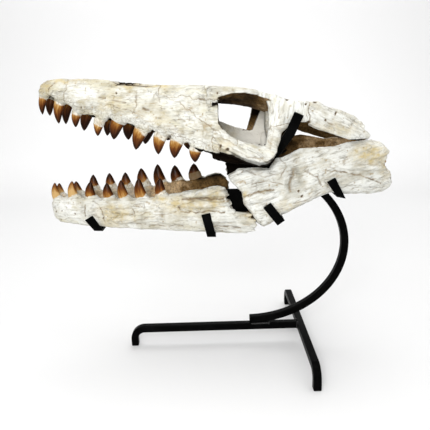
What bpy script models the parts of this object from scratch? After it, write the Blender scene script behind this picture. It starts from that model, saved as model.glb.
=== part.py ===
"""A mosasaur skull with its jaws open, held on a black steel stand.

Lengths are in millimetres and become metres as vertices are made. X runs along the skull, with the
snout at -X; Z is up and the floor is z = 0. The animal's left side is -Y. The cranium is modelled
whole in its own level frame, parted into its bones with thin cuts, and tilted a little about X.
"""

import math

import bmesh
import bpy
from mathutils import Matrix, Vector

MM = 0.001
GAP = 0.3  # the space kept between neighbouring solids

# Driving dimensions of the skull.
SNOUT_X = -207.0  # front of both jaws
ORBIT_FRONT_X = 4.2
CRANIUM_REAR_X = 175.0
JAW_REAR_X = 207.0
CRANIUM_PIVOT_Z = 315.0
CRANIUM_ROLL_DEG = -6.0  # the left side sits a little higher
RIGHT_CHEEK_LIFT = 16.0  # the right cheek was crushed upward at its rear
LEFT, RIGHT = -1, 1

# Sutures, where the cranium is parted.
PREMAXILLA_REAR_X = -172.0
NARIS_REAR_X = -62.0
PARIETAL_FRONT_X = 79.0
SQUAMOSAL_FRONT_X = 104.0

# Driving dimensions of the stand.
BAR = 9.5  # square bar
BAR_TOP_Z = 29.1
HUB_X = 110.0
STEM_FOOT_X = -117.0
CROSS_HALF = 117.5
BEND_RADIUS = 14.0
ARC_CENTRE_X = 40.8
ARC_RADIUS_X = 125.2
ARC_RADIUS_Z = 104.6
ARC_TOP_Z = 216.0
ARC_STEPS = 20
STRAP_WIDTH = 10.8
STRAP_THICK = 2.6
JAW_BAR_THICK = 3.0

# Stations along X, each with the value there.
SNOUT_TOP = ((-207, 343), (-204, 350), (-196, 353.5), (-180, 354.4), (-140, 353.4), (-100, 348.2),
             (-55, 343.2), (-24, 342.3), (4.2, 340))
GUM = ((-207, 337), (-190, 334), (-171, 325), (-150, 311), (-119, 306.5), (-90, 297), (-55, 287),
       (-11, 267.5), (5, 263))
SNOUT_HALF = ((-207, 7), (-204, 13), (-190, 18.5), (-137, 29), (-90, 40), (-45, 48), (3, 56))
CROWN_HALF = ((-207, 4), (-204, 8), (-190, 11), (-137, 15), (-90, 21), (-45, 30), (3, 47))
ROOF_TOP = ((-8, 340), (25, 337), (40, 334.5), (60, 328), (80, 320), (100, 314))
ROOF_HALF = ((-8, 44), (25, 52), (60, 58), (100, 60))
JUGAL_TOP = {
    LEFT: ((-12, 300), (3, 299.5), (9, 290.5), (18, 281.5), (31, 276), (51, 270.5), (68, 272)),
    RIGHT: ((-12, 300), (3, 301.5), (9, 296.5), (18, 290), (31, 281), (51, 271.5), (68, 272)),
}
JUGAL_BASE = ((-12, 268), (18, 261), (33, 253), (49, 247.7), (58, 249), (64, 254), (68, 262))
CHEEK_OUT = ((-12, 55), (18, 58), (60, 62), (110, 62), (150, 57), (182, 49))
BAR_TOP = ((72, 322), (100, 317.6), (116, 317), (121, 313), (131, 307.5), (148, 298.8),
           (160, 290.8), (171, 283), (175, 279))
BAR_BASE = ((72, 294), (98, 295), (115, 287), (138, 279), (151, 274.5), (162, 273.5), (175, 275.5))
BROW = ((-6, 55, 314, 337), (2, 56.5, 320, 336), (10, 57.5, 323, 335), (20, 59, 326.5, 334.5),
        (34, 60, 327, 333), (48, 61, 324, 330))  # X, its outer side, its underside and top
STRUT_FRONT = {LEFT: ((256, 57), (275, 57.5), (288, 60.5), (315, 60.5), (328, 56)),
               RIGHT: ((256, 41), (288, 42.6), (319, 50.6), (328, 53))}
STRUT_REAR = ((256, 65), (272, 71), (284, 74), (293, 84), (300, 96), (312, 97), (325, 68))
JAW_OUT = ((-207, 7), (-203, 12), (-160, 22), (-130, 29), (-90, 35), (-40, 41), (10, 47), (47, 50),
           (120, 51), (170, 48), (207, 45))
JAW_IN = ((-207, 1), (-185, 2), (-160, 6), (-130, 13), (-90, 19), (-40, 25), (10, 31), (47, 33),
          (120, 31), (207, 29))
DENTARY_BASE = ((-207, 196), (-205, 187), (-198, 181.8), (-170, 177.8), (-130, 175.9), (-51, 172.8),
                (15, 170.2), (34, 169.5), (44, 173), (47, 180))
REAR_JAW_TOP = {
    LEFT: ((15.5, 241), (28, 248), (50, 249), (63, 247.4), (70, 259), (82, 261.5), (98, 269.5),
           (137, 271), (156, 275.4), (180, 277), (192, 274.5), (199, 269), (202, 258), (207, 233)),
    RIGHT: ((15.5, 244), (28, 250), (63, 251), (82, 262), (98, 275), (114, 277.5), (130, 274.5),
            (148, 269), (165, 267.5), (178, 269), (189, 271), (199, 269), (202, 258), (207, 233)),
}
REAR_JAW_BASE = {
    LEFT: ((15.5, 237), (23, 229), (31, 220), (33, 206), (40, 196.5), (48, 182.5), (56, 176.5),
           (63, 179.5), (78, 191), (98, 200.7), (119, 211), (137, 217.5), (151, 214.3),
           (183, 213.5), (201, 216), (207, 223.5)),
    RIGHT: ((15.5, 231), (19, 222), (26, 216), (33, 206), (40, 196.5), (48, 182.5), (56, 176.5),
            (63, 179.5), (78, 191), (98, 200.7), (119, 211), (137, 217.5), (151, 214.3),
            (183, 213.5), (201, 216), (207, 223.5)),
}
DENTARY_TOP = {
    LEFT: ((-207, 208), (-205, 212), (-186, 214), (-91, 213.8), (-67, 217), (-13, 224), (3, 230),
           (9, 227), (14, 208), (22, 197), (39, 195.5), (44, 187.5), (47, 182)),
    RIGHT: ((-207, 208), (-205, 212), (-186, 214), (-91, 216), (-62, 221), (-13, 225), (8, 228),
            (12, 224), (18, 209), (26, 200), (39, 195.5), (44, 187.5), (47, 182)),
}

# Teeth: where the base lies along X, the tip's X, the tip's height and the base's length.
UPPER_TEETH = {
    LEFT: ((-201.5, -205, 314.5, 10.5), (-180.5, -184.5, 303, 13.5), (-159.5, -163.6, 298, 12.5),
           (-131.5, -137, 287, 14), (-110.5, -117.5, 282.5, 16.5), (-82, -91.5, 270, 16.5),
           (-60, -65.3, 264, 15), (-41.5, -46.7, 259.3, 16), (-20.5, -23, 254, 15)),
    RIGHT: ((-198.5, -201.7, 313.7, 12), (-179.5, -184.5, 303, 13), (-157.5, -163.7, 294.5, 14.5),
            (-131, -136, 287.5, 13.5), (-107.5, -110.5, 281.5, 16), (-84, -90, 275.5, 16),
            (-57.5, -61.5, 279.5, 13), (-34.5, -31.5, 266, 12)),
}
LOWER_TEETH = {
    LEFT: ((-199.5, -200, 232, 11), (-177.5, -177.5, 234, 13), (-155, -153.4, 233.6, 13.5),
           (-131, -132.5, 232.4, 13.5), (-112, -114.5, 236, 13.5), (-90, -92.4, 238.4, 15),
           (-66, -66.1, 238.2, 14)),
    RIGHT: ((-198, -199.7, 228.5, 11), (-177, -179, 229.5, 13), (-155.5, -157.4, 236.7, 14.5),
            (-134.5, -137.5, 237.2, 15), (-115, -117.4, 237, 15), (-92.5, -97, 241.3, 18),
            (-71.5, -75.5, 245.4, 17), (-49.5, -53.3, 243, 17), (-25.5, -28.2, 244.1, 18)),
}


def along(stations, x):
    """The value at x, on straight lines between the stations."""
    if x <= stations[0][0]:
        return stations[0][1]
    for (x0, v0), (x1, v1) in zip(stations, stations[1:]):
        if x <= x1:
            return v0 + (v1 - v0) * (x - x0) / (x1 - x0)
    return stations[-1][1]


def stations_of(low, high, *profiles):
    """Every station's X from low to high, in order, for a loft that follows these profiles."""
    inside = {x for profile in profiles for x, _ in profile if low < x < high}
    spread = [low]
    for x in sorted(inside):
        if x - spread[-1] > 1.5 and high - x > 1.5:
            spread.append(x)
    return spread + [high]


# ---- materials and objects


def material(name, colour, roughness, metallic=0.0):
    made = bpy.data.materials.new(name)
    made.use_nodes = True
    shader = made.node_tree.nodes["Principled BSDF"]
    shader.inputs["Base Color"].default_value = (*colour, 1.0)
    shader.inputs["Roughness"].default_value = roughness
    shader.inputs["Metallic"].default_value = metallic
    return made


def add_object(name, bm, surface, pivot_z=0.0, parent=None):
    """The bmesh as an object, its vertices given in millimetres."""
    bmesh.ops.recalc_face_normals(bm, faces=bm.faces)
    bmesh.ops.translate(bm, verts=bm.verts, vec=(0, 0, -pivot_z))
    bmesh.ops.scale(bm, verts=bm.verts, vec=(MM, MM, MM))
    mesh = bpy.data.meshes.new(name)
    bm.to_mesh(mesh)
    bm.free()
    obj = bpy.data.objects.new(name, mesh)
    bpy.context.scene.collection.objects.link(obj)
    obj.parent = parent
    if surface:
        mesh.materials.append(surface)
    return obj


def as_guide(obj):
    """A shape that only cuts or joins others."""
    obj.hide_render = True
    obj.display_type = "WIRE"
    return obj


def boolean(obj, other, operation):
    modifier = obj.modifiers.new(f"{operation.lower()} {other.name}", "BOOLEAN")
    modifier.operation = operation
    modifier.solver = "EXACT"
    modifier.object = other


# ---- shapes


def bridge(bm, rings):
    """A closed body through the rings, in their order."""
    loops = []
    for points in rings:
        corners = [bm.verts.new(point) for point in points]
        loops.append([bm.edges.new(pair) for pair in zip(corners, corners[1:] + corners[:1])])
    for one, other in zip(loops, loops[1:]):
        bmesh.ops.bridge_loops(bm, edges=one + other)
    for end in (loops[0], loops[-1]):
        bmesh.ops.edgeloop_fill(bm, edges=end)


def oval(x, y_range, z_range, corners=10, squareness=0.75):
    """A rounded section across X, between two Y and two Z values."""
    y_mid, y_half = sum(y_range) / 2, abs(y_range[1] - y_range[0]) / 2
    z_mid, z_half = sum(z_range) / 2, abs(z_range[1] - z_range[0]) / 2
    points = []
    for i in range(corners):
        angle = math.tau * (i + 0.5) / corners
        across, up = math.cos(angle), math.sin(angle)
        across = math.copysign(abs(across) ** squareness, across)
        up = math.copysign(abs(up) ** squareness, up)
        points.append(Vector((x, y_mid + y_half * across, z_mid + z_half * up)))
    return points


def snout_section(x):
    """The snout's section: narrow and rounded above, wide at the gums, with a hollow palate."""
    top, gum = along(SNOUT_TOP, x), along(GUM, x)
    crown, half = along(CROWN_HALF, x), along(SNOUT_HALF, x)
    deep = top - gum
    half_profile = [
        (0.0, top),
        (crown * 0.7, top - 0.02 * deep),
        (crown, top - 0.12 * deep),
        (crown + (half - crown) * 0.72, gum + 0.45 * deep),
        (half, gum + 0.12 * deep),
        (half - 1.0, gum),
        (half - min(9.0, half * 0.45), gum + 0.5),
        (half * 0.3, gum + min(6.0, 0.25 * deep)),
    ]
    left = [Vector((x, -y, z)) for y, z in half_profile]
    right = [Vector((x, y, z)) for y, z in half_profile[:0:-1]]
    return left + [Vector((x, 0, half_profile[-1][1]))] + right


def roof_section(x):
    """The flat roof over the eyes, thin at its edges and thicker in the middle."""
    top, half = along(ROOF_TOP, x), along(ROOF_HALF, x)
    fractions = (-1.0, -0.7, -0.35, 0.0, 0.35, 0.7, 1.0)
    upper = [Vector((x, half * f, top - 1.5 * f * f - 1.0 * (abs(f) == 1.0))) for f in fractions]
    lower = [Vector((x, half * f, top - 6.6 - 9.0 * (1 - f * f))) for f in reversed(fractions)]
    return upper + lower


def side_bar(low, high, top, base, thick, side, lift=((0, 0),)):
    """A bar of bone along X on one side of the cranium, its outer face on the cheek."""
    rings = []
    for x in stations_of(low, high, top, base):
        outer = along(CHEEK_OUT, x)
        rise = along(lift, x)
        rings.append(oval(x, (side * outer, side * (outer - thick)),
                          (along(base, x) + rise, along(top, x) + rise), 8))
    return rings


def strut_rings(side, lift=0.0):
    """The post behind the eye, as sections across Z."""
    rings = []
    for z in (257, 272, 284, 293, 300, 312, 325):
        level = z + lift * max(0.0, (312 - z) / 55)
        front, rear = along(STRUT_FRONT[side], level), along(STRUT_REAR, z)
        outer = 61.5 - 0.06 * (z - 257)
        middle, half = (front + rear) / 2, (rear - front) / 2
        section = oval(0, (side * (outer - 10), side * outer), (-half, half), 8)
        rings.append([Vector((middle + p.z, p.y, level)) for p in section])
    return rings


def cranium(parent, bone):
    """The whole cranium as one solid, before it is parted."""
    lofts = [
        [snout_section(x) for x in stations_of(SNOUT_X, ORBIT_FRONT_X, SNOUT_TOP, SNOUT_HALF, GUM)],
        [roof_section(x) for x in (-8, 10, 25, 42, 60, 80, 98)],
        [oval(x, (-h, h), (b, t)) for x, h, b, t in (
            (88, 24, 300, 322), (98, 15, 298, 321), (115, 9, 299, 318), (135, 8, 299, 314),
            (150, 12, 296, 310), (157, 9, 297, 307))],
        [oval(x, (-h, h), (b, t)) for x, h, b, t in (
            (63, 11, 286, 318), (69, 14, 264, 320), (79, 14, 258, 318), (87, 9, 270, 308))],
    ]
    for side, lift in ((LEFT, 0.0), (RIGHT, RIGHT_CHEEK_LIFT)):
        lofts.append(side_bar(-12, 68, JUGAL_TOP[side], JUGAL_BASE, 12, side,
                             ((-8, 0), (44, lift))))
        lofts.append(side_bar(72, CRANIUM_REAR_X, BAR_TOP, BAR_BASE, 9, side))
        lofts.append(strut_rings(side, lift))
        # The arm that runs outward from the back of the parietal to the temporal bar.
        lofts.append([oval(x, (side * (y - 6), side * (y + 6)), (z - 6, z + 6))
                      for x, y, z in ((141, 5, 304), (152, 18, 300), (162, 32, 294),
                                      (168, 44, 283.5))])
        # The pterygoid, from the palate back under the braincase.
        lofts.append([oval(x, (side * (y - w), side * (y + w)), (b, t)) for x, y, w, b, t in (
            (-62, 14, 6, 282, 296), (-35, 18, 7, 268, 284), (-13, 22, 7, 261.5, 275),
            (14, 25, 7, 252, 264), (38, 23, 6, 249, 261), (62, 17, 5, 253, 265),
            (78, 12, 5, 259, 272), (86, 11, 4, 263, 271))])
    # The left brow, which rounds the eye opening's upper front corner.
    lofts.append([oval(x, (-44, -h), (b, t), 8) for x, h, b, t in BROW])
    whole = None
    for number, rings in enumerate(lofts):
        bm = bmesh.new()
        bridge(bm, rings)
        lump = as_guide(add_object(f"cranium_{number}", bm, bone, CRANIUM_PIVOT_Z, parent))
        if whole:
            boolean(whole, lump, "UNION")
        whole = whole or lump
    return whole


def block(name, planes, parent, grow=0.0):
    """A convex block behind every plane, each a point and an outward normal."""
    bm = bmesh.new()
    bmesh.ops.create_cube(bm, size=900)
    bmesh.ops.translate(bm, verts=bm.verts, vec=(0, 0, CRANIUM_PIVOT_Z))
    for point, normal in planes:
        normal = Vector(normal).normalized()
        cut = bmesh.ops.bisect_plane(bm, geom=bm.verts[:] + bm.edges[:] + bm.faces[:],
                                     plane_co=Vector(point) + normal * grow, plane_no=normal,
                                     clear_outer=True)
        edges = [e for e in cut["geom_cut"] if isinstance(e, bmesh.types.BMEdge)]
        bmesh.ops.edgeloop_fill(bm, edges=edges)
    return as_guide(add_object(name, bm, None, CRANIUM_PIVOT_Z, parent))


def tooth_rings(base, tip, length, thick):
    """A slightly recurved cone from its root inside the bone to a blunt tip."""
    base, tip = Vector(base), Vector(tip)
    axis = (tip - base).normalized()
    fore = Vector((1, 0, 0)) - axis * axis.x
    fore.normalize()
    across = axis.cross(fore)
    rings = []
    for share, size in ((-0.3, 1.0), (0.05, 1.0), (0.4, 0.82), (0.75, 0.48), (1.0, 0.08)):
        centre = base.lerp(tip, share) - fore * (0.8 * math.sin(math.pi * max(share, 0)))
        ring = []
        for i in range(6):
            angle = math.tau * i / 6
            ring.append(centre + fore * (size * length / 2 * math.cos(angle))
                        + across * (size * thick / 2 * math.sin(angle)))
        rings.append(ring)
    return rings


def join_teeth(bone_object, name, teeth, gum, row, lean, side, pivot_z=0.0, parent=None):
    """Joins a row of teeth to its bone: gum and row give the margin's height and the row's Y."""
    bm = bmesh.new()
    for base_x, tip_x, tip_z, length in teeth:
        y = side * row(base_x)
        bridge(bm, tooth_rings((base_x, y, gum(base_x)), (tip_x, y + side * lean, tip_z),
                               length, length * 0.72))
    guide = as_guide(add_object(name, bm, None, pivot_z, parent))
    boolean(bone_object, guide, "UNION")


# ---- the cranium's bones


def mirrored(planes):
    return [((x, -y, z), (i, -j, k)) for (x, y, z), (i, j, k) in planes]


def below(plane):
    """The same plane, keeping the side that it cut away."""
    point, normal = plane
    return point, tuple(-n for n in normal)


ROOF = ((NARIS_REAR_X, 0, 331), (-0.154, 0, -1))  # keeps what is above the roof's underside
CREST = ((PARIETAL_FRONT_X, 0, 296), (-0.2, 0, -1))  # keeps the parietal above the braincase
LACRIMAL = ((0, 0, 290), (-0.61, 0, -0.79))  # keeps the prefrontal above the maxilla
CHEEK_SUTURE_Z = 281  # the postorbital meets the jugal, on the left


def side_blocks(cheek_z):
    """The planes round each paired bone of the left side."""
    front, rear, inward = (-1, 0, 0), (1, 0, 0), (0, 1, 0)
    left = {
        "prefrontal": [LACRIMAL, below(ROOF), ((0, -25, 0), inward), ((25, 0, 0), rear)],
        "postorbital": [((48, 0, 0), front), ((SQUAMOSAL_FRONT_X, 0, 0), rear),
                        ((0, -38, 0), inward), ((0, 0, cheek_z), (0.15, 0, -1))],
        "squamosal": [((SQUAMOSAL_FRONT_X, 0, 0), front), ((0, -38, 0), inward)],
        "maxilla": [((PREMAXILLA_REAR_X, 0, 0), front), ((-2, 0, 0), rear),
                    ((0, -GAP / 2, 0), inward)],
        "jugal": [((-2, 0, 0), front), ((0, -38, 0), inward), ((0, 0, cheek_z + 14), (0, 0, 1)),
                  ((90, 0, 0), rear)],
    }
    return left


def bone_blocks():
    """The planes round each bone of the cranium, by the bone's name."""
    front, rear, outward, inward = (-1, 0, 0), (1, 0, 0), (0, -1, 0), (0, 1, 0)
    left, right = side_blocks(CHEEK_SUTURE_Z), side_blocks(CHEEK_SUTURE_Z + RIGHT_CHEEK_LIFT)
    blocks = {f"{name}_left": planes for name, planes in left.items()}
    blocks.update({f"{name}_right": mirrored(planes) for name, planes in right.items()})
    blocks["premaxilla"] = [((PREMAXILLA_REAR_X, 0, 0), rear)]
    blocks["frontal"] = [ROOF, ((NARIS_REAR_X, 0, 0), front), ((PARIETAL_FRONT_X, 0, 0), rear)]
    blocks["parietal"] = [CREST, ((PARIETAL_FRONT_X, 0, 0), front), ((0, -38, 0), outward),
                          ((0, 38, 0), inward)]
    blocks["braincase"] = [((-2, 0, 0), front), ((0, -38, 0), outward), ((0, 38, 0), inward),
                           below(ROOF)]
    return blocks


# Each bone is cut back from the blocks of those before it, so that none overlap.
PARTING_ORDER = (
    "premaxilla", "prefrontal_left", "prefrontal_right", "postorbital_left", "postorbital_right",
    "squamosal_left", "squamosal_right", "frontal", "parietal", "maxilla_left", "maxilla_right",
    "jugal_left", "jugal_right", "braincase",
)
NEIGHBOURS = {
    "prefrontal": ("premaxilla",),
    "postorbital": (),
    "squamosal": ("postorbital",),
    "frontal": ("premaxilla", "prefrontal", "postorbital"),
    "parietal": ("frontal", "postorbital", "squamosal"),
    "maxilla": ("premaxilla", "prefrontal", "frontal"),
    "jugal": ("prefrontal", "postorbital", "maxilla"),
    "braincase": ("prefrontal", "postorbital", "frontal", "parietal", "maxilla", "jugal"),
    "premaxilla": (),
}


def part_cranium(whole, surface, parent):
    """The cranium's bones, cut from the whole along their sutures."""
    graph = bpy.context.evaluated_depsgraph_get()
    evaluated = whole.evaluated_get(graph)
    blocks = bone_blocks()
    keep = {name: block(f"block_{name}", planes, parent) for name, planes in blocks.items()}
    clear = {name: block(f"clear_{name}", planes, parent, GAP) for name, planes in blocks.items()}
    bones = {}
    for name in PARTING_ORDER:
        mesh = bpy.data.meshes.new_from_object(evaluated)
        mesh.materials.clear()
        mesh.materials.append(surface)
        bone = bpy.data.objects.new(name, mesh)
        bpy.context.scene.collection.objects.link(bone)
        bone.parent = parent
        boolean(bone, keep[name], "INTERSECT")
        kinds = NEIGHBOURS[name.split("_")[0]]
        for other in PARTING_ORDER[:PARTING_ORDER.index(name)]:
            if other.split("_")[0] in kinds:
                boolean(bone, clear[other], "DIFFERENCE")
        bones[name] = bone
    return bones


def add_nostrils(bones, parent):
    """The premaxilla's long bar lies in a groove that widens into the two nostrils."""
    bm = bmesh.new()
    bridge(bm, [oval(x, (-h, h), (b, t), 8, 0.6) for x, h, b, t in (
        (PREMAXILLA_REAR_X - 4, 4.5, 341.5, 352), (-150, 4.0, 341, 352), (-100, 3.2, 339, 347.2),
        (NARIS_REAR_X - GAP, 2.6, 337.5, 342.6))])
    bar = as_guide(add_object("internarial_bar", bm, None, CRANIUM_PIVOT_Z, parent))
    boolean(bones["premaxilla"], bar, "UNION")
    bm = bmesh.new()
    bridge(bm, [oval(x, (-h, h), (b, 372), 8, 0.5) for x, h, b in (
        (PREMAXILLA_REAR_X - 9, 5.6, 340), (-150, 5.4, 339.6), (-128, 7.5, 338.5),
        (-108, 11, 337), (-86, 10, 336), (NARIS_REAR_X + 1, 4, 336))])
    groove = as_guide(add_object("naris_groove", bm, None, CRANIUM_PIVOT_Z, parent))
    for tag in ("left", "right"):
        boolean(bones[f"maxilla_{tag}"], groove, "DIFFERENCE")


def add_upper_teeth(bones, parent):
    def gum(x):
        return along(GUM, x)

    def row(x):
        return along(SNOUT_HALF, x) - 5.5

    for side, tag in ((LEFT, "left"), (RIGHT, "right")):
        teeth = UPPER_TEETH[side]
        join_teeth(bones["premaxilla"], f"premaxilla_teeth_{tag}", teeth[:2], gum, row, -1.0,
                   side, CRANIUM_PIVOT_Z, parent)
        join_teeth(bones[f"maxilla_{tag}"], f"maxilla_teeth_{tag}", teeth[2:], gum, row, -1.0,
                   side, CRANIUM_PIVOT_Z, parent)


# ---- the lower jaw


def jaw_rings(side, low, high, top, base, corners=10):
    rings = []
    for x in stations_of(low, high, top, base):
        rings.append(oval(x, (side * along(JAW_IN, x), side * along(JAW_OUT, x)),
                          (along(base, x), along(top, x)), corners, 0.7))
    return rings


def lower_jaw(side, tag, surface):
    """The dentary with its teeth, and behind it the rear jaw bones as one piece."""
    top = DENTARY_TOP[side]
    bm = bmesh.new()
    bridge(bm, jaw_rings(side, SNOUT_X, 47, top, DENTARY_BASE))
    dentary = add_object(f"dentary_{tag}", bm, surface)
    join_teeth(dentary, f"dentary_teeth_{tag}", LOWER_TEETH[side], lambda x: along(top, x) - 1,
               lambda x: (along(JAW_IN, x) + along(JAW_OUT, x)) / 2, 0.5, side)
    bm = bmesh.new()
    bridge(bm, jaw_rings(side, 15.5, JAW_REAR_X, REAR_JAW_TOP[side], REAR_JAW_BASE[side]))
    add_object(f"rear_jaw_{tag}", bm, surface)


# ---- the stand


def ribbon(path, half_thick, place, half_width):
    """A bar of oblong section along a path of 2D points, mitred at its bends.

    place(a, b, side) gives the 3D point for plane coordinates a, b, and side is -1 or 1 across it;
    half_width is a number, or one for each point of the path.
    """
    points = [Vector(p) for p in path]
    rings = []
    for i, point in enumerate(points):
        into = (point - points[i - 1]).normalized() if i else (points[1] - point).normalized()
        out = (points[i + 1] - point).normalized() if i + 1 < len(points) else into
        normal = Vector((-(into + out).y, (into + out).x)).normalized()
        reach = half_thick / max(0.4, normal.dot(Vector((-into.y, into.x))))
        one, other = point + normal * reach, point - normal * reach
        rings.append([place(one, -1, i), place(one, 1, i), place(other, 1, i),
                      place(other, -1, i)])
    bm = bmesh.new()
    bridge(bm, rings)
    return bm


def bend(corner, start, end, radius, steps=5):
    """Points round a bend at a corner, from the side of start to the side of end."""
    corner, start, end = Vector(corner), Vector(start), Vector(end)
    one, other = (start - corner).normalized(), (end - corner).normalized()
    centre = corner + (one + other) * radius
    return [centre - other * radius * math.cos(a) - one * radius * math.sin(a)
            for a in (math.pi / 2 * i / steps for i in range(steps + 1))]


def soften(obj, width=1.2, segments=1):
    modifier = obj.modifiers.new("rounded edges", "BEVEL")
    modifier.width = width * MM
    modifier.segments = segments
    modifier.limit_method = "ANGLE"
    modifier.angle_limit = math.radians(50)


def bent_bars(surface):
    """The base: a stem along X with one foot, and a cross bar along Y with two."""
    half = BAR / 2
    high = BAR_TOP_Z - half
    foot, hub = (STEM_FOOT_X, 0), (HUB_X - half - GAP, high)
    corner = (STEM_FOOT_X, high)
    stem = [foot] + bend(corner, foot, hub, BEND_RADIUS) + [hub]
    bm = ribbon(stem, half, lambda p, s, i: Vector((p.x, s * half, p.y)), half)
    soften(add_object("stand_stem", bm, surface))
    foot_y = CROSS_HALF - half
    near, far = (-foot_y, 0), (foot_y, 0)
    corner_near, corner_far = (-foot_y, high), (foot_y, high)
    cross = ([near] + bend(corner_near, near, corner_far, BEND_RADIUS)
             + bend(corner_far, corner_near, far, BEND_RADIUS) + [far])
    bm = ribbon(cross, half, lambda p, s, i: Vector((HUB_X + s * half, p.x, p.y)), half)
    soften(add_object("stand_cross_bar", bm, surface))


def arc_bar(surface):
    """The bar that rises from the stem in a quarter ellipse and more, up between the jaws."""
    half = BAR / 2
    centre_z = BAR_TOP_Z + GAP + half + ARC_RADIUS_Z
    last = math.asin((ARC_TOP_Z - centre_z) / ARC_RADIUS_Z)
    path = []
    for i in range(ARC_STEPS + 1):
        angle = -math.pi / 2 + (last + math.pi / 2) * i / ARC_STEPS
        path.append((ARC_CENTRE_X + ARC_RADIUS_X * math.cos(angle),
                     centre_z + ARC_RADIUS_Z * math.sin(angle)))
    bm = ribbon(path, half, lambda p, s, i: Vector((p.x, s * half, p.y)), half)
    soften(add_object("stand_arc", bm, surface))


STRAP_Y = 0.5 + STRAP_THICK / 2  # a strap's middle, from the bone it lies against
JAW_BAR_Y = STRAP_Y + STRAP_THICK / 2 + GAP + JAW_BAR_THICK / 2
PLATE = {LEFT: (207, 14.5), RIGHT: (200, 8)}  # where it crosses the gap: middle and half height
JAW_BAR_RUN = {side: ((-155, 194, 6), (-60, 193, 6), (-20, 194, 6), (8, 199, 6), (13, *PLATE[side]),
                      (37, *PLATE[side]), (46, 208, 7), (80, 214, 6), (121, 221.5, 6),
                      (148, 232, 6)) for side in (LEFT, RIGHT)}


def jaw_bars(surface):
    """A flat bar inside each side of the lower jaw, wider across the gap between the bones."""
    for side, tag in ((LEFT, "left"), (RIGHT, "right")):
        run = JAW_BAR_RUN[side]
        path = [(x, side * (along(JAW_IN, x) - JAW_BAR_Y)) for x, _, _ in run]

        def place(p, s, i, run=run):
            _, z, half = run[i]
            return Vector((p.x, p.y, z + s * half))

        bm = ribbon(path, JAW_BAR_THICK / 2, place, None)
        add_object(f"stand_jaw_bar_{tag}", bm, surface)
    half = BAR / 2
    x, z = 121.0, 221.5
    reach = along(JAW_IN, x) - JAW_BAR_Y - JAW_BAR_THICK / 2 - 2 * GAP
    bm = ribbon([(-reach, z), (reach, z)], half, lambda p, s, i: Vector((x + s * half, p.x, p.y)),
                half)
    soften(add_object("stand_bridge", bm, surface))


# Each clip of the left jaw: the middle of its top and of its lower end, as X and Z.
CLIPS = (((-157, 190.5), (-149, 177.5)), ((-13, 196.5), (-8, 172.5)), ((59, 206), (73.5, 186)),
         ((133, 234), (145, 212)))


def leaning_strap(name, origin, lean, path, surface, low_wide=None):
    """A flat strap bent in the plane of Y and a leaning line, as (along the lean, Y) points.

    low_wide is the direction across the strap where it passes under the bone, as X and Z.
    """
    lean = Vector(lean).normalized()
    wide = Vector((lean.y, -lean.x)) * (STRAP_WIDTH / 2)

    def place(p, s, i):
        across = low_wide if low_wide and i else wide
        spot = Vector(origin) + lean * p.x + across * s
        return Vector((spot.x, p.y, spot.y))

    add_object(name, ribbon(path, STRAP_THICK / 2, place, None), surface)


def jaw_clips(surface):
    """Straps that come up from the jaw bars, under the bone and up its outer face."""
    reach = STRAP_WIDTH / 2
    for side, tag in ((LEFT, "left"), (RIGHT, "right")):
        for number, (top, low) in enumerate(CLIPS, 1):
            top, low = Vector(top), Vector(low)
            lean = top - low
            rise = lean.normalized().y
            span = [top.x + (low.x - top.x) * i / 6 + 6 * j for i in range(7) for j in (-1, 1)]
            outer = max(along(JAW_OUT, x) for x in span) + STRAP_Y
            inner = max(STRAP_THICK, min(along(JAW_IN, x) for x in span) - JAW_BAR_Y)
            under = DENTARY_BASE if low.x < 20 else REAR_JAW_BASE[side]
            slope = (along(under, low.x + reach) - along(under, low.x - reach)) / (2 * reach)
            base = min(along(under, low.x + dx) - slope * dx for dx in (-6, -3, 0, 3, 6))
            drop = (base - STRAP_Y - 1.6 - low.y) / rise
            bar_base = min(z - half for x, z, half in JAW_BAR_RUN[side] if abs(x - low.x) < 32)
            end = (bar_base - GAP - abs(slope) * reach - low.y) / rise
            path = [(lean.length, side * outer), (drop, side * outer), (drop, side * inner),
                    (max(end, drop + 3), side * inner)]
            leaning_strap(f"stand_clip_{tag}_{number}", low, lean, path, surface,
                          Vector((1, slope)).normalized() * reach)


def cranium_arms(surface):
    """A strap on each side that rises inside the jaw and hooks up over the temporal bar."""
    for side, tag in ((LEFT, "left"), (RIGHT, "right")):
        drop = 0.0 if side == LEFT else -11.0
        path = [(54 + drop, side * 66.3), (31 + drop, side * 66.3), (13 + drop, side * 46),
                (0, side * 30.8), (-42, side * 30.8)]
        leaning_strap(f"stand_arm_{tag}", (70, 262), (0.416, 0.909), path, surface)


def build():
    for old in list(bpy.data.objects):
        bpy.data.objects.remove(old)
    bone = material("fossil bone", (0.80, 0.74, 0.62), 0.75)
    steel = material("black steel", (0.02, 0.02, 0.02), 0.45, 0.3)
    pose = bpy.data.objects.new("cranium_pose", None)
    bpy.context.scene.collection.objects.link(pose)
    pose.matrix_world = (Matrix.Translation((0, 0, CRANIUM_PIVOT_Z * MM))
                         @ Matrix.Rotation(math.radians(CRANIUM_ROLL_DEG), 4, "X"))
    bpy.context.view_layer.update()
    bones = part_cranium(cranium(pose, bone), bone, pose)
    add_nostrils(bones, pose)
    add_upper_teeth(bones, pose)
    for side, tag in ((LEFT, "left"), (RIGHT, "right")):
        lower_jaw(side, tag, bone)
    bent_bars(steel)
    arc_bar(steel)
    jaw_bars(steel)
    jaw_clips(steel)
    cranium_arms(steel)


build()
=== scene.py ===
"""The finished look of a mosasaur skull with open jaws, held on a black steel stand.

X runs along the skull with the snout at -X, Z is up from the floor, and the animal's left side is
-Y. Lengths are in millimetres until a mesh is made.
"""

import math

import bmesh
import bpy
import numpy as np
from mathutils import Matrix, Vector
from mathutils.bvhtree import BVHTree


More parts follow.
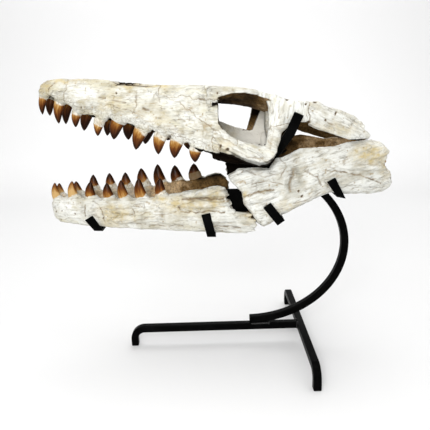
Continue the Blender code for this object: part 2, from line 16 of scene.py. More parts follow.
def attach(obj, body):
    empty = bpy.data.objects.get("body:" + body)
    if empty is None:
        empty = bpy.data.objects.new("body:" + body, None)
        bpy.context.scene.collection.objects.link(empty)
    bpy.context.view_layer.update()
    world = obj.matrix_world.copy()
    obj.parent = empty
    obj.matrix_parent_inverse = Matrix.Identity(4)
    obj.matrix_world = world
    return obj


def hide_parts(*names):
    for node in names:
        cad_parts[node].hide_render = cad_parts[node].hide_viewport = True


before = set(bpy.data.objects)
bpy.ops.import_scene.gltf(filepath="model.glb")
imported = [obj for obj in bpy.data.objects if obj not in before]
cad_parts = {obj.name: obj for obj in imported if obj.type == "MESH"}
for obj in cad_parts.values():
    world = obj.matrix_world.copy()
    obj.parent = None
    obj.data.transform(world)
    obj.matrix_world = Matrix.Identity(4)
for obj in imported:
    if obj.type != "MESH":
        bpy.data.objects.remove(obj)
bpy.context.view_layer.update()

MM = 0.001
LEFT, RIGHT = -1, 1
SIDES = ((LEFT, "left"), (RIGHT, "right"))
JOIN_DISTANCE = 1e-6  # in metres
VOXEL = 0.9
SOFTENING, SOFTENING_ROUNDS = 0.5, 4
OVER_SEAMS = 0.45  # how far the cranium's bones grow, so that they melt together at the seams
# The blocks that take the CAD's teeth off: how far off the gum, how deep, and where each ends.
CUT_HALF_WIDTH = 90
GUM_CUT, GUM_CUT_DEPTH, GUM_CUT_ENDS = 0.3, -45, ((-215, 337), (15, 260))
JAW_CUT, JAW_CUT_HEIGHT, JAW_CUT_START = 0.1, 40, (-215, 208)
WORN_OFF = 0.6  # what the remesh and its smoothing take off an edge
CRANIUM_ROLL = -6
CRANIUM_PIVOT_Z = 315.0
LEVEL = (Matrix.Translation((0, 0, CRANIUM_PIVOT_Z))
         @ Matrix.Rotation(math.radians(CRANIUM_ROLL), 4, "X")
         @ Matrix.Translation((0, 0, -CRANIUM_PIVOT_Z)))  # from the cranium's level frame
RISE_ACROSS = 0.105  # the height that the roll takes off for each millimetre to the right

# ---- the skull's profiles, each with stations along X: the upper gum's height in the level
# frame, the snout's half width, the lower jaw's outer and inner faces, and its gum's height

GUM = ((-207, 337), (-190, 334), (-171, 325), (-150, 311), (-119, 306.5), (-90, 297), (-55, 287),
       (-11, 267.5), (5, 263))
SNOUT_HALF = ((-207, 7), (-204, 13), (-190, 18.5), (-137, 29), (-90, 40), (-45, 48), (3, 56))
JAW_OUT = ((-207, 7), (-203, 12), (-160, 22), (-130, 29), (-90, 35), (-40, 41), (10, 47), (47, 50),
           (120, 51), (170, 48), (207, 45))
JAW_IN = ((-207, 1), (-185, 2), (-160, 6), (-130, 13), (-90, 19), (-40, 25), (10, 31), (47, 33),
          (120, 31), (207, 29))
DENTARY_TOP = {
    LEFT: ((-207, 208), (-205, 212), (-186, 214), (-91, 213.8), (-67, 217), (-13, 224)),
    RIGHT: ((-207, 208), (-205, 212), (-186, 214), (-91, 216), (-62, 221), (-13, 225)),
}

# Teeth: where the base lies along X, the tip's X, the tip's height, the base's length, the share
# of the height that is bare root, and how dark the enamel is; on the far side's teeth most of that
# darkness is painted shade.
UPPER_TEETH = {
    LEFT: ((-201.5, -205, 314.5, 9.4, 0.1, 0.4), (-180.5, -184.5, 303, 12.4, 0.1, 0.3),
           (-159.5, -163.6, 298, 11.4, 0.25, 0.4), (-131.5, -137, 287, 12.6, 0.42, 0.25),
           (-110.5, -117.5, 282.5, 15.4, 0.0, 0.5), (-82, -91.5, 270, 16, 0.16, 0.35),
           (-60, -65.3, 264, 15, 0.26, 0.25), (-41.5, -46.7, 259.3, 15.4, 0.14, 0.3),
           (-20.5, -23, 254, 14.4, 0.28, 0.4)),
    RIGHT: ((-198.5, -201.7, 313.7, 11.4, 0.0, 0.7), (-179.5, -184.5, 303, 12.6, 0.0, 0.62),
            (-157.5, -163.7, 294.5, 14, 0.0, 0.6), (-131, -136, 287.5, 13, 0.0, 0.62),
            (-107.5, -110.5, 281.5, 15.4, 0.0, 0.7), (-84, -90, 275.5, 15.4, 0.0, 1.0),
            (-57.5, -61.5, 279.5, 12.6, 0.6, 0.9), (-34.5, -31.5, 266, 12, 0.3, 1.0)),
}
LOWER_TEETH = {
    LEFT: ((-199.5, -200, 232, 10.6, 0.1, -0.2), (-177.5, -177.5, 234, 12.4, 0.1, -0.3),
           (-155, -153.4, 233.6, 12.8, 0.05, 0.4), (-131, -132.5, 232.4, 12.8, 0.05, 0.4),
           (-112, -114.5, 236, 12.8, 0.05, 0.2), (-90, -92.4, 238.4, 14.4, 0.05, 0.3),
           (-66, -66.1, 238.2, 13.4, 0.2, 0.6)),
    RIGHT: ((-198, -199.7, 228.5, 10.4, 0.2, 0.0), (-177, -179, 229.5, 12.4, 0.2, 0.2),
            (-155.5, -157.4, 236.7, 13.8, 0.32, 0.55), (-134.5, -137.5, 237.2, 14.4, 0.35, 0.5),
            (-115, -117.4, 237, 14.4, 0.3, 0.5), (-92.5, -97, 241.3, 17, 0.32, 0.4),
            (-71.5, -75.5, 245.4, 16, 0.1, 0.62), (-49.5, -53.3, 243, 16, 0.15, 0.75),
            (-25.5, -28.2, 244.1, 17, 0.45, 0.98)),
}
TOOTH_WIDTH_TO_LENGTH = 0.72
ROOT_SHARE = 0.45  # how deep the root goes into the jaw, as a share of the tooth's height
TOOTH_CURVE = 0.055  # how far a crown bows to the front, as a share of its height
TOOTH_KEEL = 0.05  # how far its front and rear edges stand out
TOOTH_FULLNESS, TOOTH_TAPER = 1.9, 0.68  # the powers that give a crown its outline
NECK, NECK_HEIGHT = 0.07, 0.22  # how far a tooth is drawn in at its base, and how far up
TIP_SIZE = 0.03
ROOT_SWELL = 1.04
ROOT_WEAR = 0.5  # how far the bare root is worn in or stands out
ROW_INSET = 5.5  # from the snout's side to the upper row
PREMAXILLA_TEETH = 2  # on each side
TOOTH_SIDES, TOOTH_STEPS = 24, 26
# The lump round a root: its shift to the rear and upwards, its half length and half width as
# shares of the tooth's length, its half height and its tilt.
UPPER_ROOT_LUMP = (2, 1.5, 0.66, 0.42, 6.0, -20)
LOWER_ROOT_LUMP = (1.5, -2.0, 0.7, 0.44, 5.5, 0.0)
LUMP_INSET = 5.0

# ---- worn shapes and relief, in millimetres

MARGIN = 8.0  # how far the scallops between the teeth reach from the gum
UPPER_SCALLOP, LOWER_SCALLOP = 2.6, {LEFT: 1.4, RIGHT: 2.4}
# The nostrils: the height of their lower rim along X, the bar between them as its middle and half
# width, their outer limits, and the share of the bone's height above the rim that is left.
NARIS_RIM = ((-124, 352), (-112, 345), (-96, 343.5), (-80, 341.5), (-70, 341.5), (-62, 347))
NARIS_BAR = (-3.0, 4.6)
NARIS_WIDTH = (-20, 14)
NARIS_DEPTH_KEPT = 0.15
SQUAMOSAL_TIP = (170, 0.85)  # from this X on, the near one is shortened by this factor
# How far the relief stands out: broad swells, ridges along the grain, knots, the porous bone at
# the gum and the broken plates at a dentary's rear; then how deep the seams lie.
SWELL, RIDGES, KNOTS, POROUS_RISE, PLATES, SEAM_DEPTH = 0.5, 0.5, 0.6, 0.5, 1.3, 0.5
JAW_ROUGHNESS = 1.3
CRACK_SHAKE, ZONE_SHAKE = 2.2, 6
HOLE_DEPTH = 1.6
STAINED_WIDTH = 0.85  # the dark part of a crack, as a share of its width
PIT_START, PIT_DEPTH = 0.62, 2.2  # pits lie where the noise is above that
FAR_SIDE_SHIFT = (9.0, -3.0)  # the far side's cracks, so that they don't mirror the near ones
SEAM_WANDER = (4.5, 1.5, 4.5)
# How open a point lies: the directions looked in, how far, and from how far out of the bone.
LOOKS_OUT, LOOK_REACH, LOOK_START = 10, 70.0, 2.0
LOOK_SLANT = 0.9  # how near to the surface the lowest look runs
GOLDEN_ANGLE = 2.39996

# ---- the stand

BAR = 9.5
BAR_TOP_Z = 29.1
HUB_X = 110.0
STEM_FOOT_X = -117.0
CROSS_HALF = 117.5
BEND_RADIUS, BEND_STEPS = 14.0, 12
ARC_CENTRE_X = 40.8
ARC_RADIUS_X = 125.2
ARC_RADIUS_Z = 104.6
ARC_TOP_Z = 216.0
ARC_STEPS = 72
GAP = 0.3
BAR_EDGE, STRIP_EDGE = (1.2, 3), (0.5, 2)  # a rounded edge's width and segments
EDGE_ANGLE, FLAT_ANGLE = math.radians(40), math.radians(1)
CLIP_DRAWN_UP = 1.6
WELD_RADIUS = 1.3
WELD_VOXEL = 0.35
WELD_OUT = 0.2  # how far a bead's middle lies outside the bar
# Shares of a drop's radius: from drop to drop, off the line, and in size.
DROP_SPACING, DROP_WANDER, DROP_UNEVEN = 0.8, 0.25, 0.2
ARC_WELD = (3, 27)  # from the arc's foot
STEEL_NODES = ("stand_jaw_bar_left", "stand_jaw_bar_right", "stand_bridge", "stand_arm_left",
               "stand_arm_right") + tuple(
    f"stand_clip_{side}_{i}" for side in ("left", "right") for i in (1, 2, 3, 4))

# ---- the bones: grain direction in the side view in degrees, then warmth of the colour

BONES = {
    "premaxilla": (4, 0.6), "maxilla_left": (-7, 0.42), "maxilla_right": (-7, 0.35),
    "prefrontal_left": (-8, 0.28), "prefrontal_right": (-8, 0.25), "frontal": (-4, 0.3),
    "postorbital_left": (80, -0.6), "postorbital_right": (80, 0.2),
    "squamosal_left": (-24, -0.3), "squamosal_right": (-24, 0.35), "parietal": (-12, 0.3),
    "jugal_left": (-24, 0.3), "jugal_right": (-24, 0.4), "braincase": (4, 0.8),
    "dentary_left": (-2, 0.1), "dentary_right": (0, 0.6), "rear_jaw_left": (16, -0.3),
    "rear_jaw_right": (14, 0.5),
}
UPPER_JAW = ("premaxilla", "maxilla_left", "maxilla_right")
LOWER_JAW = {"dentary_left": LEFT, "dentary_right": RIGHT}
CRANIUM = tuple(n for n in BONES if not n.startswith(("dentary", "rear_jaw")))
BODIES = {"cranium": CRANIUM, **{n: (n,) for n in BONES if n not in CRANIUM}}

# Marks seen from the side, as X and Z: half width, depth (below zero it stands up), darkness.
MARKS = {
    "cranium": (
        (0.8, 0.6, 0.8, (-186, 349), (-192, 346), (-191, 341)),
        (0.7, 0.3, 0.35, (-173, 345), (-158, 349), (-142, 348)),
        (1.0, 0.4, 0.6, (-133, 334), (-125, 333)),
        (1.2, 0.5, 0.45, (-117, 331), (-109, 329), (-101, 327)),
        (0.9, 0.5, 0.5, (-88, 340), (-88, 331), (-88, 324), (-92, 315)),
        (0.7, 0.3, 0.4, (-141, 327), (-140, 316)),
        (1.3, 0.6, 0.6, (-80, 321), (-72, 318)),
        (1.3, 0.7, 0.7, (-39, 307), (-32, 305)),
        (1.3, 0.8, 0.9, (-16, 328), (-10, 328)),
        (1.0, 0.7, 0.85, (-87, 346.5), (-78, 345)),
        (0.7, 0.3, 0.5, (-12, 337), (-1, 342), (12, 340)),
        (0.7, 0.4, 0.5, (-132, 325), (-116, 324), (-101, 320), (-89, 316)),
        (0.7, 0.3, 0.4, (-70, 330), (-65, 337), (-61, 326)),
        (0.8, 0.4, 0.4, (-53, 292), (-42, 289), (-29, 286)),
        (0.7, 0.4, 0.5, (156, 302), (164, 294), (167, 289)),
        (0.8, 0.4, 0.5, (120, 302), (133, 297)),
        (0.8, 0.4, 0.4, (98, 301), (112, 296), (127, 289)),
        (0.9, 0.5, 0.15, (64, 322), (67, 301), (61, 272)),
        (0.7, 0.4, 0.5, (19, 274), (37, 266), (55, 263)),
        (0.7, 0.3, 0.4, (-13, 282), (3, 272), (10, 268)),
    ),
    "dentary": (
        (0.9, 0.5, 0.55, (-161, 205), (-163, 192)),
        (0.9, 0.5, 0.5, (-151, 209), (-143, 205), (-139, 191), (-137, 183)),
        (0.8, 0.5, 0.6, (-102, 203), (-98, 193)),
        (0.7, 0.4, 0.5, (-87, 207), (-87, 199)),
        (1.0, 0.9, 0.75, (-45, 205), (-43, 198), (-30, 198)),
        (0.9, 0.5, 0.4, (-108, 186), (-80, 193), (-49, 198)),
        (0.8, 0.4, 0.35, (-130, 197), (-103, 194), (-80, 197)),
        (0.8, 0.4, 0.35, (-136, 202), (-115, 201), (-96, 203)),
        (1.3, 1.6, 0.55, (-41, 213), (-19, 214), (9, 214)),
        (1.2, 1.3, 0.6, (-32, 198), (-8, 199), (9, 198)),
        (0.9, 0.5, 0.4, (-97, 183), (-73, 181), (-41, 180)),
        (1.1, 0.9, 0.6, (-11, 180), (13, 180), (28, 178)),
    ),
    "rear_jaw": (
        (1.5, 1.8, 0.6, (33, 216), (44, 220), (55, 223), (66, 224)),
        (2.8, -2.0, 0.0, (35, 211), (49, 215), (71, 221)),
        (2.6, 1.6, 0.4, (90, 248), (88, 239), (85, 230), (86, 222)),
        (0.9, 0.8, 0.7, (126, 245), (147, 242), (160, 239), (174, 235), (192, 227)),
        (2.6, -1.5, 0.0, (126, 247), (147, 248), (177, 246), (199, 244)),
        (0.8, 0.4, 0.4, (150, 224), (158, 227), (170, 225)),
        (1.0, 0.6, 0.5, (75, 260), (81, 250), (75, 238)),
        (1.0, 0.6, 0.4, (36, 245), (57, 240), (75, 243)),
        (0.9, 0.5, 0.4, (41, 231), (60, 234), (78, 230)),
        (1.3, 0.8, 0.5, (103, 244), (117, 238), (122, 229)),
        (0.9, 0.5, 0.4, (91, 206), (110, 212), (122, 219)),
    ),
}
# Small holes seen from the side: X, Z and radius.
HOLES = {
    "cranium": ((80, 325, 1.6), (111, 323, 1.8), (122, 303, 1.1), (-112, 338, 0.8),
                (-152, 323, 0.8), (-125, 333, 0.8), (5, 334, 1.0), (100, 320, 1.0),
                (134, 310, 1.2), (6, 278, 1.6), (14, 274, 1.4), (-72, 295, 0.9)),
    "dentary": ((-202, 196, 0.9), (-193, 197, 0.9), (-175, 194, 0.8), (-139, 189, 0.8)),
    "rear_jaw": ((96, 222, 1.3), (100, 215, 1.5)),
}
# Coloured zones seen from the side: the colour, how strong, X, Z and the half sizes.
ZONES = {
    "cranium": (
        ("tan", 0.9, -198, 345, 8, 7), ("tan", 0.7, -176, 352, 29, 3),
        ("tan", 1.0, -83, 346, 30, 3.5), ("tan", 1.0, -66, 344, 15, 3),
        ("tan", 0.45, -116, 327, 16, 9), ("tan", 0.5, 8, 277, 10, 8), ("tan", 0.4, -61, 309, 11, 6),
        ("grey", 0.5, 0, 340, 13, 3), ("grey", 0.4, 117, 301, 20, 5), ("tan", 0.4, 134, 293, 27, 7),
        ("white", 0.45, 62, 291, 11, 22), ("white", 0.3, -40, 325, 34, 9)),
    "dentary": (
        ("tan", 0.75, -124, 195, 22, 10), ("tan", 0.6, -130, 183, 9, 5),
        ("tan", 0.85, -67, 214, 11, 5), ("tan", 0.8, -1, 214, 10, 10),
        ("tan", 0.75, -36, 206, 30, 9), ("grey", 0.4, 18, 182, 20, 8), ("tan", 0.7, 42, 192, 7, 7),
        ("white", 0.8, -185, 201, 17, 11), ("white", 0.6, -148, 202, 6, 10)),
    "rear_jaw": (
        ("tan", 0.75, 35, 218, 6, 5), ("grey", 0.9, 90, 237, 11, 18), ("grey", 0.4, 54, 229, 16, 9),
        ("tan", 0.9, 179, 262, 20, 10), ("tan", 0.5, 197, 248, 7, 14), ("tan", 0.5, 83, 202, 13, 6),
        ("grey", 0.35, 156, 237, 29, 6), ("white", 0.5, 54, 214, 16, 6)),
}

# Rounded swellings melted into the bone, each on both sides (0) or on one: X, Y outward, Z, the
# three half sizes and the tilt in the side view. The cranium's are in its level frame.
SWELLINGS = {
    "cranium": ((0, 8, 51.5, 271, 9, 4.5, 6, -20), (0, 17, 53, 264.5, 6, 4, 4.5, -20),
                (0, 40, 53, 256.5, 22, 5, 5, -17), (0, 140, 50, 297, 26, 5, 5, -28),
                (0, -30, 44, 284.5, 26, 5, 7, -14), (0, -90, 31, 314.5, 30, 6, 8, -6),
                (0, -140, 25, 322, 24, 4, 7, -5), (LEFT, -1, 53, 321.5, 7.5, 5, 5, 0),
                (RIGHT, 1, 51, 261.5, 17, 5, 4.2, -24), (RIGHT, 66, 50, 275, 5, 6, 12, 0),
                (RIGHT, 58, 52, 262, 12, 6, 6, 0)),
    "dentary": ((0, -9, 40.5, 222.5, 17, 5.5, 3.4, 15), (0, -11, 42.5, 207.5, 24, 5.5, 4.6, 3),
                (0, 10, 43, 189, 26, 6, 6, 3), (0, -90, 34, 190, 40, 5, 6, 2)),
    "rear_jaw": ((0, 45, 45, 239, 27, 6, 8.5, 5), (0, 56, 47, 214, 22, 5.5, 4.5, 16),
                 (0, 181, 44, 263, 21, 6, 9, 0), (0, 165, 45.5, 247, 34, 5, 3.2, -2),
                 (0, 112, 47, 238, 17, 5.5, 14, 0), (0, 165, 45, 229, 36, 4.5, 6, -6)),
}

# The planes round each bone of the cranium in its level frame, each a point and a normal that
# points out of the bone. The first bone that holds a point has it.
PREMAXILLA_REAR_X, NARIS_REAR_X, PARIETAL_FRONT_X, SQUAMOSAL_FRONT_X = -172, -62, 79, 104
FRONT, REAR, INWARD = (-1, 0, 0), (1, 0, 0), (0, 1, 0)
NOSE_BAR_HALF, NOSE_BAR_UNDER = 4.6, 338
RIGHT_STRUT_LIFT = 16  # how much higher the right postorbital ends
ROOF = ((NARIS_REAR_X, 0, 331), (-0.154, 0, -1))
UNDER_ROOF = ((NARIS_REAR_X, 0, 331), (0.154, 0, 1))
SIDE_BONES = (
    ("prefrontal", lambda lift: (((0, 0, 290), (-0.61, 0, -0.79)), UNDER_ROOF,
                                 ((0, -25, 0), INWARD), ((25, 0, 0), REAR))),
    ("postorbital", lambda lift: (((48, 0, 0), FRONT), ((SQUAMOSAL_FRONT_X, 0, 0), REAR),
                                  ((0, -38, 0), INWARD), ((0, 0, 281 + lift), (0.15, 0, -1)))),
    ("squamosal", lambda lift: (((SQUAMOSAL_FRONT_X, 0, 0), FRONT), ((0, -38, 0), INWARD))),
)
MIDDLE_BONES = (
    ("frontal", (ROOF, ((NARIS_REAR_X, 0, 0), FRONT), ((PARIETAL_FRONT_X, 0, 0), REAR))),
    ("parietal", (((PARIETAL_FRONT_X, 0, 296), (-0.2, 0, -1)), ((PARIETAL_FRONT_X, 0, 0), FRONT),
                  ((0, -38, 0), (0, -1, 0)), ((0, 38, 0), INWARD))),
)
LOWER_BONES = (
    ("maxilla", (((-2, 0, 0), REAR), ((0, 0, 0), INWARD))),
    ("jugal", (((0, -38, 0), INWARD), ((90, 0, 0), REAR))),
)


def along(stations, x):
    """The value at x, on straight lines between the stations."""
    return np.interp(x, *zip(*stations))


def bell(values, middle, wide):
    """From 1 in the middle down to 0 beyond its width on both sides."""
    return np.exp(-((values - middle) / wide) ** 2)


def ramp(values, low, high):
    """From 0 at low to 1 at high, and held there."""
    return np.clip((values - low) / (high - low), 0, 1)


def joined(*columns):
    """Columns of numbers side by side, as points."""
    return np.stack(columns, axis=1)


# ---- repeatable noise


def lattice(cells, seed):
    """A random number from -1 to 1 for each whole-numbered cell, the same on every run.

    The large odd numbers only scatter the bits.
    """
    h = (cells[:, 0] * 374761393 + cells[:, 1] * 668265263 + cells[:, 2] * 1442695041
         + seed * 974634777) & 0xFFFFFFFF
    h = ((h ^ (h >> 13)) * 1274126177) & 0xFFFFFFFF
    h = ((h ^ (h >> 16)) * 2246822519) & 0xFFFFFFFF
    return ((h ^ (h >> 15)) & 0xFFFFFF) / 0x7FFFFF - 1.0


def noise(points, seed):
    """Smooth noise from -1 to 1 with features about one unit across. Each seed is a pattern."""
    base = np.floor(points).astype(np.int64)
    t = points - base
    t = t * t * (3 - 2 * t)
    total = np.zeros(len(points))
    for corner in np.ndindex(2, 2, 2):
        share = np.ones(len(points))
        for axis in range(3):
            share *= t[:, axis] if corner[axis] else 1 - t[:, axis]
        total += share * lattice(base + np.array(corner), seed)
    return total


def fractal(points, size, octaves, seed):
    """Noise with features of that size and finer ones on it."""
    total, amplitude, reach = 0, 1.0, 0.0
    for i in range(octaves):
        total = total + amplitude * noise(points / size * 2 ** i, seed + 17 * i)
        reach += amplitude
        amplitude *= 0.5
    return total / reach


# ---- meshes


def link(obj):
    """Puts the object into the scene."""
    bpy.context.scene.collection.objects.link(obj)
    return obj


def ring_body(bm, rings):
    """A closed body through rings of equally many points."""
    loops = [[bm.verts.new(p) for p in ring] for ring in rings]
    count = len(loops[0])
    for one, other in zip(loops, loops[1:]):
        for i in range(count):
            j = (i + 1) % count
            bm.faces.new((one[i], one[j], other[j], other[i]))
    bm.faces.new(loops[0])
    bm.faces.new(loops[-1])


def mesh_object(name, bm, scale=MM):
    """An object of the mesh, its normals turned outwards and its lengths brought to metres."""
    bmesh.ops.recalc_face_normals(bm, faces=bm.faces)
    bmesh.ops.scale(bm, verts=bm.verts, vec=(scale,) * 3)
    mesh = bpy.data.meshes.new(name)
    bm.to_mesh(mesh)
    bm.free()
    return link(bpy.data.objects.new(name, mesh))


def solid_of(node):
    """A CAD node's solid with its corners joined, in metres."""
    bm = bmesh.new()
    bm.from_mesh(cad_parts[node].data)
    bmesh.ops.remove_doubles(bm, verts=bm.verts, dist=JOIN_DISTANCE)
    return bm


def slab(name, profile, rise, matrix=Matrix()):
    """A block from the profile's height to that height plus rise, across the whole skull."""
    bm = bmesh.new()
    rings = []
    half = CUT_HALF_WIDTH
    for x, z in profile:
        corners = ((-half, z), (half, z), (half, z + rise), (-half, z + rise))
        rings.append([matrix @ Vector((x, *corner)) for corner in corners])
    ring_body(bm, rings)
    return mesh_object(name, bm)


def coordinates(mesh):
    """The mesh's points in millimetres."""
    co = np.empty(len(mesh.vertices) * 3)
    mesh.vertices.foreach_get("co", co)
    return co.reshape(-1, 3) / MM


def normals_of(mesh):
    """The direction that each point of the mesh faces."""
    no = np.empty(len(mesh.vertices) * 3, np.float32)
    mesh.vertex_normals.foreach_get("vector", no)
    return no.reshape(-1, 3).astype(float)


def store(mesh, name, values):
    """Keeps a value from 0 to 1 with each point, for the material to read."""
    attribute = mesh.attributes.new(name, "FLOAT", "POINT")
    attribute.data.foreach_set("value", np.clip(values, 0, 1).astype(np.float32))


def lump(bm, x, y, z, rx, ry, rz, tilt, matrix=Matrix()):
    """An ellipsoid that the remesh melts into the bone, tilted in the side view."""
    place = (matrix @ Matrix.Translation((x, y, z)) @ Matrix.Rotation(math.radians(-tilt), 4, "Y")
             @ Matrix.Diagonal((rx, ry, rz, 1)))
    bmesh.ops.create_icosphere(bm, subdivisions=2, radius=1, matrix=place)


def swellings():
    """Rounded lumps on the bones, and one round the root of each tooth."""
    made = {name: bmesh.new() for name in BODIES}
    for side, tag in SIDES:
        rear, up, long, wide, high, tilt = UPPER_ROOT_LUMP
        for x, _, _, length, _, _ in UPPER_TEETH[side]:
            y = side * (along(SNOUT_HALF, x) - LUMP_INSET)
            lump(made["cranium"], x + rear, y, along(GUM, x) + up, length * long, length * wide,
                 high, tilt, LEVEL)
        rear, up, long, wide, high, tilt = LOWER_ROOT_LUMP
        for x, _, _, length, _, _ in LOWER_TEETH[side]:
            y = side * (along(JAW_IN, x) + along(JAW_OUT, x)) / 2
            lump(made[f"dentary_{tag}"], x + rear, y, along(DENTARY_TOP[side], x) + up,
                 length * long, length * wide, high, tilt)
        for kind, lumps in SWELLINGS.items():
            name, matrix = ("cranium", LEVEL) if kind == "cranium" else (f"{kind}_{tag}", Matrix())
            for where, x, y, z, *sizes in lumps:
                if where in (0, side):
                    lump(made[name], x, side * y, z, *sizes, matrix)
    return made


def bare_bodies():
    """The cranium and each jaw bone without teeth, remeshed finely and softened."""
    front, rear = GUM_CUT_ENDS
    upper = [(x, z - GUM_CUT) for x, z in (front, *GUM[1:], rear)]
    under = slab("under_the_gum", upper, GUM_CUT_DEPTH, LEVEL)
    cuts = dict.fromkeys(UPPER_JAW, under)
    for node, side in LOWER_JAW.items():
        top = (JAW_CUT_START, *DENTARY_TOP[side][1:])
        cuts[node] = slab("over_the_jaw", [(x, z + JAW_CUT) for x, z in top], JAW_CUT_HEIGHT)
    bones = {}
    for node in BONES:
        obj = mesh_object(f"solid_{node}", solid_of(node), 1.0)
        if node in cuts:
            cut = obj.modifiers.new("teeth off", "BOOLEAN")
            cut.operation, cut.solver, cut.object = "DIFFERENCE", "EXACT", cuts[node]
        if node in CRANIUM:
            grow = obj.modifiers.new("over the seams", "DISPLACE")
            grow.strength, grow.mid_level = OVER_SEAMS * MM, 0.0
        bones[node] = obj
    graph = bpy.context.evaluated_depsgraph_get()
    rounded = swellings()
    bodies = {}
    for name, nodes in BODIES.items():
        bm = rounded[name]
        bmesh.ops.scale(bm, verts=bm.verts, vec=(MM,) * 3)
        for node in nodes:
            bm.from_mesh(bones[node].evaluated_get(graph).to_mesh())
        obj = mesh_object(f"body_{name}", bm, 1.0)
        remesh = obj.modifiers.new("even mesh", "REMESH")
        remesh.mode, remesh.voxel_size = "VOXEL", VOXEL * MM
        smooth = obj.modifiers.new("soft edges", "SMOOTH")
        smooth.factor, smooth.iterations = SOFTENING, SOFTENING_ROUNDS
        bodies[name] = obj
    for obj in [*bones.values(), *set(cuts.values())]:
        bpy.data.objects.remove(obj)
    graph = bpy.context.evaluated_depsgraph_get()
    meshes = {}
    for name, obj in bodies.items():
        meshes[name] = bpy.data.meshes.new_from_object(obj.evaluated_get(graph))
        bpy.data.objects.remove(obj)
    return meshes


def inside(points, planes):
    """Which points lie behind every one of the planes."""
    held = np.ones(len(points), bool)
    for point, normal in planes:
        held &= (points - np.array(point)) @ np.array(normal, float) <= 0
    return held


def bone_of(points):
    """Which of the cranium's bones holds each point, the seams wandering a little."""
    level = np.array(LEVEL.inverted().to_3x3())
    base = np.array((0, 0, CRANIUM_PIVOT_Z))
    points = (points - base) @ level.T + base
    points = points + SEAM_WANDER * joined(*(fractal(points, 9, 3, s) for s in (401, 402, 403)))
    owner = np.full(len(points), CRANIUM.index("braincase"))
    free = np.ones(len(points), bool)

    def claim(name, planes, flip=False):
        at = points * (1, -1, 1) if flip else points
        held = free & inside(at, planes)
        owner[held] = CRANIUM.index(name)
        free[held] = False

    claim("premaxilla", (((PREMAXILLA_REAR_X, 0, 0), REAR),))
    bar = (((NARIS_REAR_X, 0, 0), REAR), ((0, NOSE_BAR_HALF, 0), (0, 1, 0)),
           ((0, -NOSE_BAR_HALF, 0), (0, -1, 0)), ((0, 0, NOSE_BAR_UNDER), (0, 0, -1)))
    claim("premaxilla", bar)
    sides = (("left", 0, False), ("right", RIGHT_STRUT_LIFT, True))
    for kind, planes in SIDE_BONES:
        for tag, lift, flip in sides:
            claim(f"{kind}_{tag}", planes(lift), flip)
    for name, planes in MIDDLE_BONES:
        claim(name, planes)
    for kind, planes in LOWER_BONES:
        for tag, _, flip in sides:
            claim(f"{kind}_{tag}", planes, flip)
    return owner


def faces_of(mesh):
    """Every face as four vertex numbers, for a mesh of quads alone."""
    corners = np.empty(len(mesh.loops), np.int64)
    mesh.loops.foreach_get("vertex_index", corners)
    return corners.reshape(-1, 4)


def smoothed(co, edges, rounds):
    """The points drawn to the mean of their neighbours, that many times."""
    both = np.concatenate([edges, edges[:, ::-1]])
    count = np.bincount(both[:, 0], minlength=len(co))[:, None]
    for _ in range(rounds):
        total = np.stack([np.bincount(both[:, 0], co[both[:, 1], axis], len(co))
                          for axis in range(3)], axis=1)
        co = co * 0.5 + total / count * 0.5
    return co


def openness(co, normals, tree):
    """From 0 in a deep hollow to 1 on an open face, by looking out in several directions."""
    directions = []
    for i in range(LOOKS_OUT):
        up = 1 - (i + 0.5) / LOOKS_OUT * LOOK_SLANT
        angle = i * GOLDEN_ANGLE
        flat = math.sqrt(1 - up * up)
        directions.append((flat * math.cos(angle), flat * math.sin(angle), up))
    open_share = np.empty(len(co))
    for n in range(len(co)):
        normal = Vector(normals[n])
        across = normal.orthogonal().normalized()
        other = normal.cross(across)
        start = Vector(co[n]) + normal * LOOK_START
        free = 0.0
        for a, b, c in directions:
            hit = tree.ray_cast(start, across * a + other * b + normal * c, LOOK_REACH)
            free += 1.0 if hit[0] is None else 0.5 * hit[3] / LOOK_REACH
        open_share[n] = free / len(directions)
    return open_share


def solid_tree():
    """One search tree of every bone's CAD solid, in millimetres."""
    verts, faces = [], []
    for node in BONES:
        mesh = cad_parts[node].data
        start = len(verts)
        verts += [v.co / MM for v in mesh.vertices]
        faces += [[start + i for i in p.vertices] for p in mesh.polygons]
    return BVHTree.FromPolygons(verts, faces)


def line_distance(points, line):
    """How far each 2D point is from a run of straight segments."""
    nearest = np.full(len(points), 1e9)
    for start, end in zip(line, line[1:]):
        start, way = np.array(start, float), np.subtract(end, start).astype(float)
        share = np.clip((points - start) @ way / (way @ way), 0, 1)
        gap = np.linalg.norm(points - start - share[:, None] * way, axis=1)
        nearest = np.minimum(nearest, gap)
    return nearest


